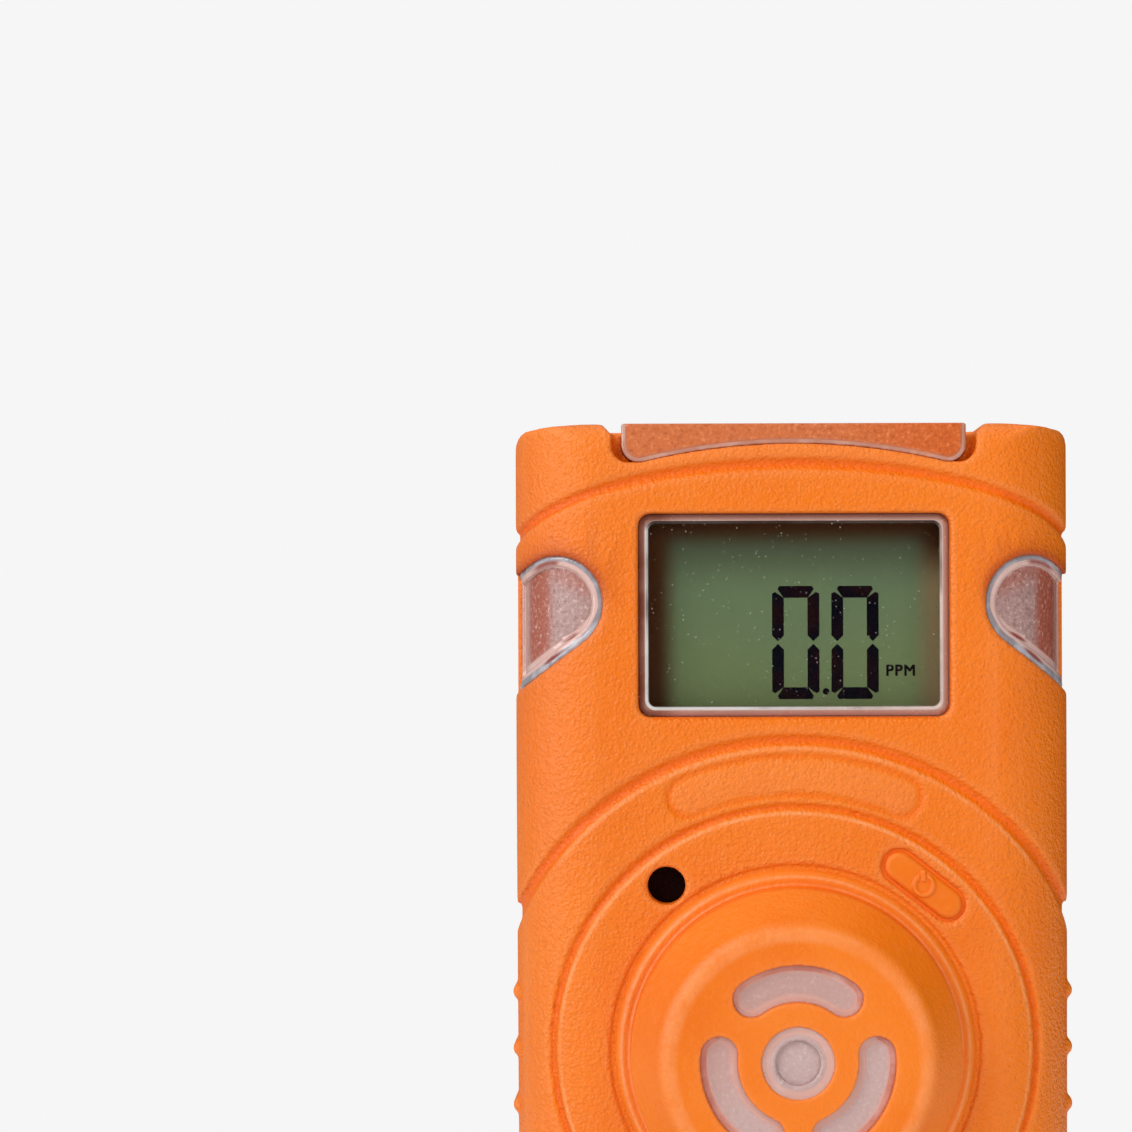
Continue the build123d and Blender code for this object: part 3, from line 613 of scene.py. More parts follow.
@dataclass(frozen=True)
class SolderMask:
    """Green board with copper tracks under the mask and round pads."""

    name: str = "solder_mask"
    pitch: float = 2.54 * MM

    def make(self) -> bpy.types.Material:
        """Builds the material."""
        g = Graph(self.name)
        x, _, z = g.axis()
        across, up = ((line / self.pitch).size().fraction() - 0.5 for line in (x, z))
        runs = up.size().step(0.10, 0.07) * g.noise(120, 1, 0.5, (0.3, 1, 1)).step(0.5, 0.52)
        pads = (across ** 2.0 + up ** 2.0).step(0.020, 0.012) * g.noise(90, 1).step(0.55, 0.57)
        colour = g.mix(runs, (0.010, 0.085, 0.030), (0.035, 0.19, 0.075))
        colour = g.mix(pads, colour, (0.78, 0.66, 0.36))
        shader = g.principled(
            Base_Color=colour,
            Metallic=pads.clamped(),
            Roughness=(g.noise(1500, 2) * 0.1 + 0.28).clamped(),
            Normal=g.bump(runs + pads * 0.6 + g.noise(2500, 2) * 0.1, 0.03 * MM),
        )
        return g.finish(shader)


@dataclass(frozen=True)
class WovenCloth:
    """Black acoustic cloth with its woven holes."""

    name: str = "acoustic_cloth"
    pitch: float = 0.16 * MM

    def make(self) -> bpy.types.Material:
        """Builds the material."""
        g = Graph(self.name)
        x, _, z = g.axis()
        near, far = 0.3 * self.pitch, 0.9 * self.pitch
        holes = (x + z).swing(self.pitch).step(near, far) * (x - z).swing(self.pitch).step(near, far)
        shader = g.principled(
            Base_Color=g.mix(holes, (0.010, 0.0012, 0.0008), (0.001, 0.0002, 0.0002)),
            Roughness=(holes * 0.1 + 0.8).clamped(),
            Normal=g.bump(holes, -0.08 * MM),
            Specular_IOR_Level=0.12,
        )
        return g.finish(shader)


@dataclass(frozen=True)
class FoilLabel:
    """Silver foil label with a printed border, one solid field and blank rows."""

    centre: Point
    half: Pair
    name: str = "foil_label"
    silver: Colour = (0.66, 0.67, 0.68)
    dull: Colour = (0.54, 0.55, 0.56)
    ink: Colour = (0.028, 0.030, 0.034)
    row: float = 1.1 * MM

    def make(self) -> bpy.types.Material:
        """Builds the material."""
        g = Graph(self.name)
        x, _, z = g.axis()
        x, z = x - self.centre[0], z - self.centre[2]
        room = (self.half[0] - x.size()).least(self.half[1] - z.size())
        border = room.step(0.55 * MM, 0.60 * MM) * room.step(0.95 * MM, 0.90 * MM)
        solid = x.step(-5 * MM, -5.05 * MM) * room.step(1.6 * MM, 1.65 * MM)
        lines = z.swing(self.row).step(0.14 * MM, 0.10 * MM) * x.step(-3.5 * MM, -3.45 * MM)
        ink = border.most(solid).most(lines * room.step(1.9 * MM, 1.95 * MM))
        grain = g.noise(3200, 3)
        shader = g.principled(
            Base_Color=g.mix(ink, g.mix(grain, self.silver, self.dull), self.ink),
            Metallic=(0.75 - ink * 0.75).clamped(),
            Roughness=(grain * 0.12 + ink * 0.1 + 0.32).clamped(),
            Normal=g.bump(ink * 0.5 + g.noise(420, 2), 0.02 * MM),
        )
        return g.finish(shader)


class Finish(Enum):
    """The finishes that pieces and CAD nodes share."""

    # The case's rings: raised lips, paler where rubbed and with a painted highlight.
    CASE = MouldedOrange("case_moulding", rings=((26.45 * MM, 0.26 * MM, 0.6), (20.75 * MM, 0.24 * MM, 0.9)))
    KEY = MouldedOrange("key_moulding", roughness=0.46, grain_depth=0.030 * MM)
    # The cap's rings: two lips at its foot, rubbed and with a painted highlight, and at 11 mm a broad painted
    # highlight on the rounded top edge.
    CAP = MouldedOrange(
        "cap_moulding",
        body=(0.90, 0.205, 0.008),
        grain_depth=0.07 * MM,
        rings=((15.25 * MM, 0.20 * MM, 0.9), (14.62 * MM, 0.16 * MM, 0.7), (11.0 * MM, 0.95 * MM, 0.6)),
    )
    CLEAR = ClearPlastic()
    INSERT = ClearPlastic(
        "inlet_insert",
        outer=(0.66, 0.23, 0.16), gleam=(0.74, 0.33, 0.25), inner=(0.74, 0.42, 0.35),
        frosted=(0.62, 0.43, 0.405), warm=(0.57, 0.29, 0.23), light=(0.78, 0.66, 0.64),
        dark=(0.52, 0.32, 0.28), transmission=0.12, grain_depth=0.004 * MM,
    )
    TOP_CLEAR = ClearPlastic(
        "top_lens_amber",
        outer=(0.52, 0.23, 0.16), gleam=(0.60, 0.34, 0.27), inner=(0.50, 0.16, 0.08),
        frosted=(0.64, 0.155, 0.040), warm=(0.64, 0.110, 0.006), light=(0.90, 0.36, 0.14),
        dark=(0.30, 0.045, 0.005), grain_depth=0.05 * MM,
    )
    STEEL = Metal("clip_steel")
    SPRING = Metal("spring_wire", (0.50, 0.50, 0.52), (0.33, 0.33, 0.35), 0.34)
    SCREW = Metal("screw_steel", (0.52, 0.52, 0.53), (0.30, 0.30, 0.31), 0.33, (1, 1, 1), 4000.0)
    NICKEL = Metal("nickel_strip", (0.66, 0.64, 0.60), (0.50, 0.48, 0.45), 0.32)
    CAN = Metal("drawn_can", (0.72, 0.73, 0.75), (0.55, 0.56, 0.58), 0.38)
    BRASS = Metal("gilt_brass", (0.83, 0.60, 0.26), (0.62, 0.42, 0.15), 0.28, (1, 0.1, 1))
    SEAL = Plain("seal_rubber", grey(0.012), grey(0.03), 0.62, 1800.0)
    FOAM = Plain("cell_foam", (0.022, 0.022, 0.024), (0.055, 0.055, 0.058), 0.9, 2200.0, 0.12 * MM)
    WHITE = Plain("white_moulding", (0.80, 0.80, 0.77), (0.70, 0.70, 0.68), 0.42, 1500.0)
    CHIP = Plain("chip_moulding", (0.016, 0.016, 0.018), (0.034, 0.034, 0.036), 0.55, 5200.0)
    SENSOR = Plain("cell_housing", (0.035, 0.035, 0.040), (0.06, 0.06, 0.065), 0.5, 2600.0)
    LED = Plain("led_lens", (0.86, 0.83, 0.70), (0.78, 0.74, 0.62), 0.2, 900.0, 0.01 * MM, coat=0.4)
    FILTER = Plain("filter_membrane", (0.86, 0.86, 0.84), (0.78, 0.78, 0.76), 0.85, 5200.0, 0.03 * MM)
    WRAP = Plain("shrink_wrap", (0.05, 0.11, 0.30), (0.035, 0.08, 0.22), 0.3, 700.0, 0.02 * MM)
    CLOTH = WovenCloth()
    BOARD = SolderMask()
    SEGMENT = Segment()


class Paint:
    """Makes each finish once and lays it on objects."""

    def __init__(self) -> None:
        """Starts with no material made."""
        self.made: dict[str, bpy.types.Material] = {}

    def lay(self, obj: bpy.types.Object, finish: Any) -> None:
        """Gives an object one finish.

        Args:
            obj: the object; its other slots are cleared.
            finish: a Finish, or a finish of its own.
        """
        recipe = finish.value if isinstance(finish, Finish) else finish
        if recipe.name not in self.made:
            self.made[recipe.name] = recipe.make()
        obj.data.materials.clear()
        obj.data.materials.append(self.made[recipe.name])


# ---------------------------------------------------------------- bench tools


class Bench:
    """Modelling by hand: one object at a time, its edits and its modifiers applied."""

    def __init__(self, frame: dict[str, Any], paint: Paint) -> None:
        """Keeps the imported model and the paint.

        Args:
            paint: the finishes.
        """
        self.nodes = frame["nodes"]
        self.paint = paint

    @staticmethod
    def take(obj: bpy.types.Object) -> bpy.types.Object:
        """Selects only this object and makes it active."""
        bpy.ops.object.select_all(action="DESELECT")
        obj.select_set(True)
        bpy.context.view_layer.objects.active = obj
        return obj

    def edit(self, obj: bpy.types.Object, *steps: Callable[[], Any],
             pick: Callable[[Vector], bool] | None = None) -> None:
        """Runs edit-mode steps on an object's mesh.

        Args:
            obj: the object.
            steps: the operators to call, in order.
            pick: chooses the points that they act on, by place; all of them when left out.
        """
        self.take(obj)
        bpy.ops.object.mode_set(mode="EDIT")
        bpy.ops.mesh.select_mode(type="VERT")
        bpy.ops.mesh.select_all(action="SELECT" if pick is None else "DESELECT")
        if pick is not None:
            bpy.ops.object.mode_set(mode="OBJECT")
            for point in obj.data.vertices:
                point.select = pick(point.co)
            bpy.ops.object.mode_set(mode="EDIT")
        for step in steps:
            step()
        bpy.ops.object.mode_set(mode="OBJECT")

    def settle(self, obj: bpy.types.Object, name: str = "") -> bpy.types.Object:
        """Bakes an object's place, turn and size into its mesh, and names it."""
        self.take(obj)
        bpy.ops.object.transform_apply(location=True, rotation=True, scale=True)
        obj.name = name or obj.name
        obj.data.name = obj.name
        return obj

    def primitive(self, kind: str, name: str, scale: Point = (1, 1, 1), **settings: Any) -> bpy.types.Object:
        """A Blender primitive at its size and place, with its transform baked.

        Args:
            kind: the primitive, such as "cylinder".
            name: the new object's name.
            scale: the size along each axis.
            settings: the operator's own settings.

        Returns:
            The object.
        """
        bpy.ops.object.select_all(action="DESELECT")
        getattr(bpy.ops.mesh, f"primitive_{kind}_add")(**settings)
        obj = bpy.context.active_object
        obj.scale = scale
        return self.settle(obj, name)

    def copy(self, obj: bpy.types.Object, name: str, move: Point) -> bpy.types.Object:
        """A copy with its own mesh, moved by a step that is baked in."""
        made = obj.copy()
        made.data = obj.data.copy()
        bpy.context.scene.collection.objects.link(made)
        made.location = move
        return self.settle(made, name)

    def join(self, name: str, *parts: bpy.types.Object) -> bpy.types.Object:
        """Makes several objects one."""
        self.take(parts[0])
        for part in parts[1:]:
            part.select_set(True)
        bpy.ops.object.join()
        return self.settle(parts[0], name)

    def cut(self, obj: bpy.types.Object, tool: bpy.types.Object) -> bpy.types.Object:
        """Cuts one object with another, which is used up."""
        self.modify(obj, "BOOLEAN", operation="DIFFERENCE", object=tool, solver="EXACT")
        bpy.data.objects.remove(tool, do_unlink=True)
        return obj

    def modify(self, obj: bpy.types.Object, kind: str, **settings: Any) -> bpy.types.Object:
        """Adds a modifier with these settings and applies it."""
        self.take(obj)
        modifier = obj.modifiers.new(kind.lower(), kind)
        for name, value in settings.items():
            setattr(modifier, name, value)
        bpy.ops.object.modifier_apply(modifier=modifier.name)
        return obj

    def copy_node(self, node: str, name: str) -> bpy.types.Object:
        """A closed copy of a CAD node's mesh, its doubled points merged."""
        obj = bpy.data.objects.new(name, self.nodes[node].data.copy())
        bpy.context.scene.collection.objects.link(obj)
        self.take(obj)
        bpy.ops.mesh.customdata_custom_splitnormals_clear()
        self.edit(obj, lambda: bpy.ops.mesh.remove_doubles(threshold=0.002 * MM))
        return obj

    def soften(self, node: str, name: str, voxel: float, passes: int,
               limit: int = 150000) -> bpy.types.Object:
        """A copy of a CAD node with moulded, rounded edges.

        Args:
            node: the CAD node.
            name: the new piece's name.
            voxel: the cell of the remesh, in metres.
            passes: smoothing passes; more make rounder edges.
            limit: the most triangles to keep.

        Returns:
            The new piece.
        """
        obj = self.copy_node(node, name)
        self.modify(obj, "REMESH", mode="VOXEL", voxel_size=voxel, adaptivity=0.0)
        self.modify(obj, "SMOOTH", factor=0.5, iterations=passes)
        obj.data.shade_smooth()
        self.thin(obj, limit)
        return obj

    def thin(self, obj: bpy.types.Object, limit: int) -> None:
        """Brings a mesh under a number of triangles."""
        triangles = sum(len(face.vertices) - 2 for face in obj.data.polygons)
        if triangles > limit:
            self.modify(obj, "DECIMATE", ratio=limit / triangles)
            obj.data.shade_smooth()

    def set_piece(self, obj: bpy.types.Object, body: str, slot: str, finish: Any,
                  replaces: Iterable[str] = ()) -> None:
        """Dresses a new piece and ties it to its body.

        Args:
            obj: the piece.
            body: the CAD body it rides on.
            slot: the record's material slot; it is not used.
            finish: its finish.
            replaces: the CAD nodes it stands for.
        """
        self.paint.lay(obj, finish)
        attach(obj, body)
        if replaces:
            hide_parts(*replaces)
        LOG.info("%s: %d faces on %s", obj.name, len(obj.data.polygons), body)

    def dress(self, nodes: Iterable[str], finish: Any) -> None:
        """Gives CAD nodes whose shape is right their finish."""
        for node in nodes:
            self.paint.lay(self.nodes[node], finish)


def points_of(obj: bpy.types.Object) -> tuple[np.ndarray, np.ndarray]:
    """Every point's place and normal."""
    count = len(obj.data.vertices)
    places, normals = np.empty(count * 3), np.empty(count * 3)
    obj.data.vertices.foreach_get("co", places)
    obj.data.vertices.foreach_get("normal", normals)
    return places.reshape(-1, 3), normals.reshape(-1, 3)


def put_points(obj: bpy.types.Object, places: np.ndarray) -> None:
    """Moves every point of a mesh."""
    obj.data.vertices.foreach_set("co", places.ravel())
    obj.data.update()


def store(obj: bpy.types.Object, name: str, values: np.ndarray) -> None:
    """Keeps a number for each point of a mesh."""
    layer = obj.data.attributes.get(name) or obj.data.attributes.new(name, "FLOAT", "POINT")
    layer.data.foreach_set("value", values.astype(np.float32))


def store_relief(obj: bpy.types.Object, reach: float, spread: int = 3) -> None:
    """Keeps how far each point is a ridge or a hollow, from 0 to 1.

    Args:
        obj: the piece.
        reach: the bulge that counts as a full ridge, in metres.
        spread: how many times the result is blurred over its neighbours.
    """
    places, normals = points_of(obj)
    ends = np.empty(len(obj.data.edges) * 2, dtype=np.int64)
    obj.data.edges.foreach_get("vertices", ends)
    a, b = ends[0::2], ends[1::2]
    links = np.bincount(a, minlength=len(places)) + np.bincount(b, minlength=len(places))

    def around(values: np.ndarray) -> np.ndarray:
        total = np.bincount(a, values[b], len(places)) + np.bincount(b, values[a], len(places))
        return total / np.maximum(links, 1)

    middle = np.stack([around(places[:, i]) for i in range(3)], axis=1)
    bulge = ((places - middle) * normals).sum(axis=1)
    for _ in range(spread):
        bulge = around(bulge)
    store(obj, "ridge", np.clip(bulge / reach, 0, 1))
    store(obj, "hollow", np.clip(-bulge / reach, 0, 1))


def rise(values: np.ndarray, low: float, high: float) -> np.ndarray:
    """A smooth step from 0 at low to 1 at high."""
    t = np.clip((values - low) / (high - low), 0, 1)
    return t * t * (3 - 2 * t)


def lens_depth(places: np.ndarray) -> np.ndarray:
    """How far points lie inside a side lens's outline.

    Args:
        places: the points.

    Returns:
        The distance from the outline, in metres; it is negative outside.
    """
    x, z = np.abs(places[:, 0]) - LENS_CENTRE[0], places[:, 2] - LENS_CENTRE[1]
    disc = LENS_R - np.hypot(x, z)
    low, high, side = ((x * across + z * up) / math.hypot(across, up) for across, up in LENS_WAYS)
    return np.maximum(disc, np.minimum(np.minimum(low, high) + LENS_R, side))


def box_of(node: str) -> tuple[Point, Point]:
    """The middle of a CAD node's box, and half its size."""
    low, high = (np.array(corner, dtype=float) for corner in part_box(node))
    return tuple(map(float, (low + high) / 2)), tuple(map(float, (high - low) / 2))


# ---------------------------------------------------------------- assemblies


@dataclass
class CaseShells:
    """Front and rear shells, their screws, seal and rating label."""

    bench: Bench
    voxel: float = 0.23 * MM
    plate_r: float = 24.05 * MM
    plate_half: float = 2.125 * MM
    plate_turn: float = math.radians(22.7)
    plate_lift: float = 0.16 * MM
    plate_level: float = -10.2 * MM
    seat_r: Pair = (15.6 * MM, 16.2 * MM)
    seat_level: float = -10.72 * MM
    seat_top: float = -9.8 * MM
    screw_places: tuple[Pair, ...] = (
        (-17.5 * MM, 12.0 * MM), (17.5 * MM, 12.0 * MM), (-19.4 * MM, 77.0 * MM), (19.4 * MM, 77.0 * MM))

    def build(self) -> None:
        """Builds and dresses the case."""
        nodes = ("front_shell", "rear_shell")
        front, rear = (self.bench.soften(node, f"case_{node}", self.voxel, 5) for node in nodes)
        self.raise_seat(front)
        self.raise_plate(front)
        self.shade_rims(front)
        for shell, node in zip((front, rear), nodes):
            store_relief(shell, 0.012 * MM)
            self.bench.set_piece(shell, "case", "case_orange", Finish.CASE, [node])
        screw_set(self.bench, "case_screws", "case_screw", self.screw_places, (2.0 * MM, 1.6 * MM), 0.4 * MM,
                  (20.0, 37.0))
        self.bench.dress(["case_seal"], Finish.SEAL)
        middle, half = box_of("rating_label")
        self.bench.dress(["rating_label"], FoilLabel(middle, half[::2]))

    def raise_seat(self, shell: bpy.types.Object) -> None:
        """Lifts the floor of the cap's seat, outside the cap."""
        places, _ = points_of(shell)
        radius = np.hypot(places[:, 0], places[:, 2] - SENSOR_Z)
        inner, outer = self.seat_r
        seat = rise(radius, inner - 0.4 * MM, inner) * rise(radius, outer + 0.3 * MM, outer)
        seat *= places[:, 1] < self.seat_top
        places[:, 1] += seat * np.minimum(self.seat_level - places[:, 1], 0)
        put_points(shell, places)

    def raise_plate(self, shell: bpy.types.Object) -> None:
        """Lifts the middle of the plain plate's recess, which leaves a groove round it."""
        places, _ = points_of(shell)
        x, z = places[:, 0], places[:, 2] - SENSOR_Z
        end = np.clip(np.arctan2(x, z), -self.plate_turn, self.plate_turn)
        away = np.hypot(x - self.plate_r * np.sin(end), z - self.plate_r * np.cos(end))
        middle = rise(self.plate_half - away, 0.35 * MM, 0.85 * MM) * (places[:, 1] < self.plate_level)
        places[:, 1] -= self.plate_lift * middle
        put_points(shell, places)

    @staticmethod
    def shade_rims(shell: bpy.types.Object) -> None:
        """Paints shadow into the colour of the rolled edge over each side lens, strongest over its top."""
        places, _ = points_of(shell)
        over = rise(places[:, 2], LENS_CENTRE[1] - 1.0 * MM, LENS_CENTRE[1] + 2.5 * MM)
        near = rise(lens_depth(places), -1.35 * MM, -0.1 * MM) * (places[:, 1] < -2.0 * MM)
        store(shell, "shade", near * (0.15 + 0.85 * over))


def cross_head(bench: Bench, top: Point, r: float, depth: float, turn: float) -> bpy.types.Object:
    """A screw head facing +Y with a cross recess and a rounded rim.

    Args:
        bench: the bench.
        top: the middle of its upper face.
        r: its radius.
        depth: its height.
        turn: how far the recess is turned, in degrees.

    Returns:
        The head.
    """
    middle = (top[0], top[1] - depth / 2, top[2])
    head = bench.primitive("cylinder", "head", vertices=48, radius=r, depth=depth, location=middle,
                           rotation=(-math.pi / 2, 0, 0))
    bench.modify(head, "BEVEL", width=0.28 * r, segments=4, limit_method="ANGLE")
    for quarter in (0, 90):
        tool = bench.primitive("cube", "tool", (1.15 * r, 0.9 * depth, 0.26 * r), size=1.0, location=(0, 0, 0))
        spin = Matrix.Rotation(math.radians(turn + quarter), 4, "Y")
        tool.matrix_world = Matrix.Translation(top) @ spin
        bench.cut(head, bench.settle(tool))
    head.data.shade_smooth()
    bench.take(head)
    bpy.ops.object.shade_smooth_by_angle(angle=math.radians(35))
    return head


def screw_set(bench: Bench, node: str, name: str, places: Iterable[Pair], head: Pair, overlap: float,
              turns: Pair) -> None:
    """Cross-head screws facing +Y that stand for one CAD node, joined and set in place.

    Args:
        bench: the bench.
        node: the CAD node.
        name: the start of their names.
        places: each screw's X and Z.
        head: the heads' radius and height.
        overlap: how far a shank goes into its head.
        turns: the first recess's turn and the step to each next one, in degrees.
    """
    low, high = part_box(node)
    length = high[1] - low[1] - head[1] + overlap
    made = []
    for number, (x, z) in enumerate(places):
        top = cross_head(bench, (x, high[1], z), *head, turns[0] + turns[1] * number)
        shank = bench.primitive("cylinder", "shank", vertices=24, radius=1.0 * MM, depth=length,
                                location=(x, low[1] + length / 2, z), rotation=(math.pi / 2, 0, 0))
        made.append(bench.join(f"{name}_{number}", top, shank))
    whole = bench.join(f"{name}_set", *made)
    bench.set_piece(whole, "case", "screw_steel", Finish.SCREW, [node])


@dataclass
class SensorHead:
    """Sensor cap, the clear insert in its slots and the cell behind."""

    bench: Bench
    cap_voxel: float = 0.16 * MM
    insert_growth: float = 0.34 * MM
    foot_spread: float = 0.12 * MM
    foot_r: Pair = (15.2 * MM, 15.7 * MM)
    foot_levels: Pair = (-10.9 * MM, -10.5 * MM)
    slot_r: float = 6.75 * MM
    slot_half: float = 1.5 * MM
    slot_turn: float = 36.0
    hub_r: float = 2.95 * MM

    def build(self) -> None:
        """Builds and dresses the sensor's parts."""
        cap = self.bench.soften("sensor_cap", "sensor_cap_moulding", self.cap_voxel, 5, 140000)
        self.seat_foot(cap)
        store_relief(cap, 0.012 * MM)
        self.bench.set_piece(cap, "case", "cap_orange", Finish.CAP, ["sensor_cap"])
        insert = self.bench.soften("sensor_window", "gas_inlet_insert", 0.11 * MM, 4, 90000)
        self.frost_insert(insert)
        self.bench.set_piece(insert, "case", "clear_plastic", Finish.INSERT, ["sensor_window"])
        for node, finish in (("dust_filter", Finish.FILTER), ("sensor_gasket", Finish.SEAL),
                             ("gas_sensor", Finish.SENSOR), ("sensor_holder", Finish.CHIP),
                             ("sensor_sockets", Finish.BRASS)):
            self.bench.dress([node], finish)

    def seat_foot(self, cap: bpy.types.Object) -> None:
        """Spreads the cap's foot until it meets the wall of its seat."""
        places, _ = points_of(cap)
        x, z = places[:, 0], places[:, 2] - SENSOR_Z
        radius = np.hypot(x, z)
        spread = self.foot_spread * rise(radius, *self.foot_r) * rise(places[:, 1], *self.foot_levels)
        places[:, 0] += x / radius * spread
        places[:, 2] += z / radius * spread
        put_points(cap, places)

    def frost_insert(self, insert: bpy.types.Object) -> None:
        """Fills the slits a little, and marks the insert's borders and the painted shade, tinted by the cap, at
        the upper left of its slots.
        """
        places, normals = points_of(insert)
        sideways = np.hypot(normals[:, 0], normals[:, 2]) * (places[:, 1] < -15.9 * MM)
        put_points(insert, places + normals * (self.insert_growth * rise(sideways, 0.3, 0.9))[:, None])
        x, z = places[:, 0], places[:, 2] - SENSOR_Z
        radius = np.hypot(x, z)
        hub = radius < 4.0 * MM
        turn = np.degrees(np.arctan2(z, x))
        nearest = np.round((turn - 90.0) / 120.0) * 120.0 + 90.0
        swing = np.clip(turn - nearest, -self.slot_turn, self.slot_turn)
        spine = np.radians(nearest + swing)
        away = np.hypot(x - self.slot_r * np.cos(spine), z - self.slot_r * np.sin(spine))
        depth = np.where(hub, self.hub_r - radius, self.slot_half - away)
        outer = np.where(hub, 0.0, rise(radius, self.slot_r - 0.4 * MM, self.slot_r + 0.9 * MM))
        store(insert, "border", (0.47 + 0.53 * outer) * rise(depth, 1.05 * MM, 0.10 * MM))
        store(insert, "frost", rise(depth, 0.42 * MM, 0.70 * MM))
        # Painted shade, warm with the cap's colour, towards the upper left of each slot.
        store(insert, "warm", 0.55 * (~hub) * rise(x * 0.7 - z, 2.0 * MM, -5.0 * MM))
        store(insert, "pocket", np.zeros(len(places)))


@dataclass
class Display:
    """Window, liquid-crystal glass with its figures, and the parts that hold them."""

    bench: Bench
    half_width: float = 2.1 * MM
    half_height: float = 5.035 * MM
    stroke: float = 1.04 * MM
    gap: float = 0.13 * MM
    slant: float = 0.30 * MM
    chamfer: float = 0.34 * MM
    figure_z: float = 65.605 * MM
    figure_x: Pair = (0.26 * MM, 5.545 * MM)
    point_place: Pair = (2.95 * MM, 61.25 * MM)
    point_r: float = 0.29 * MM
    unit_place: Pair = (8.23 * MM, 62.62 * MM)
    unit_size: float = 1.38 * MM
    unit_weight: Pair = (0.07 * MM, 0.05 * MM)
    film: float = 0.03 * MM
    pane_growth: float = 0.28 * MM
    plug_depth: float = 1.4 * MM

    def build(self) -> None:
        """Builds and dresses the display."""
        self.window()
        middle, half = box_of("lcd_panel")
        self.bench.dress(["lcd_panel"], DisplayGlass(middle))
        self.figures(middle[1] - half[1])
        self.bench.dress(["backlight", "lcd_frame"], Finish.WHITE)
        self.bench.dress(["window_gasket", "contact_strips"], Finish.SEAL)

    def window(self) -> None:
        """Clear window with a small bevel, and a painted highlight line along its cut edge."""
        pane = self.bench.copy_node("display_window", "display_pane")
        self.bench.edit(pane, lambda: bpy.ops.mesh.dissolve_limited(angle_limit=math.radians(1)))
        self.bench.modify(pane, "BEVEL", width=0.07 * MM, segments=2, limit_method="ANGLE")
        self.bench.modify(pane, "TRIANGULATE")
        self.bench.take(pane)
        bpy.ops.object.shade_smooth_by_angle(angle=math.radians(20))
        low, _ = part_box("display_window")
        places, normals = points_of(pane)
        plug = places[:, 1] < low[1] + self.plug_depth
        outward = normals * (1, 0, 1) * (plug & (np.hypot(normals[:, 0], normals[:, 2]) > 0.3))[:, None]
        put_points(pane, places + outward * self.pane_growth)
        face = places[plug]
        left, _, bottom = face.min(axis=0)
        right, _, top = face.max(axis=0)
        middle = (float(left + right) / 2, low[1] + 0.6 * MM, float(bottom + top) / 2)
        finish = WindowPane(middle, (float(right - left) / 2, float(top - bottom) / 2))
        self.bench.set_piece(pane, "case", "clear_plastic", finish, ["display_window"])

    def figures(self, front: float) -> None:
        """Two seven-segment noughts, the point between them and the unit.

        Args:
            front: the glass's front face, in metres.
        """
        level = front - self.film
        first = self.nought(level)
        moved = self.bench.copy(first, "display_digit_2", (self.figure_x[1] - self.figure_x[0], 0, 0))
        x, z = self.point_place
        dot = self.bench.primitive("cylinder", "display_point", vertices=24, radius=self.point_r,
                                   depth=self.film, location=(x, level + self.film / 2, z),
                                   rotation=(math.pi / 2, 0, 0))
        unit = self.unit(level)
        for piece in (first, moved, dot, unit):
            self.bench.set_piece(piece, "case", "lcd_glass", Finish.SEGMENT)

    def nought(self, level: float) -> bpy.types.Object:
        """A nought, from one quarter of it mirrored both ways.

        Args:
            level: the figures' front face.

        Returns:
            The figure.
        """
        w, h, t, gap = self.half_width, self.half_height, self.stroke, self.gap
        reach = w - self.slant
        bar = self.bench.primitive("plane", "bar", (reach, t, 1), size=1.0)
        self.stand(bar, (reach / 2, h - t / 2))
        self.bench.edit(bar, lambda: bpy.ops.transform.translate(value=(0.32 * MM - t, 0, 0)),
                        pick=lambda p: p.x > 0.5 * w and p.z < h - t / 2)
        self.chamfer_points(bar, self.chamfer, lambda p: p.x > 0.5 * w and p.z > h - t / 2)
        length = h - 0.33 * MM - gap
        post = self.bench.primitive("plane", "post", (t, length, 1), size=1.0)
        self.stand(post, (w - t / 2, gap + length / 2))
        self.bench.edit(post, lambda: bpy.ops.transform.translate(value=(0, 0, self.slant - t)),
                        pick=lambda p: p.x < w - t / 2 and p.z > h / 2)
        self.chamfer_points(post, 0.49 * t, lambda p: p.z < h / 2)
        self.chamfer_points(post, self.chamfer, lambda p: p.x > w - t / 2 and p.z > h / 2)
        quarter = self.bench.join("display_digit_1", bar, post)
        self.bench.modify(quarter, "MIRROR", use_axis=(True, False, True), use_mirror_merge=True,
                          merge_threshold=0.01 * MM)
        self.bench.edit(quarter, lambda: bpy.ops.mesh.normals_make_consistent(inside=False))
        self.bench.modify(quarter, "SOLIDIFY", thickness=self.film, offset=0.0)
        quarter.location = (self.figure_x[0], level + self.film / 2, self.figure_z)
        return self.bench.settle(quarter)

    def chamfer_points(self, flat: bpy.types.Object, size: float, pick: Callable[[Vector], bool]) -> None:
        """Cuts the chosen corners off a flat shape."""
        self.bench.edit(flat, lambda: bpy.ops.mesh.bevel(affect="VERTICES", offset=size), pick=pick)

    def stand(self, flat: bpy.types.Object, centre: Pair) -> None:
        """Stands a flat shape up in X and Z around a centre."""
        flat.rotation_euler = (math.pi / 2, 0, 0)
        flat.location = (centre[0], 0, centre[1])
        self.bench.settle(flat)

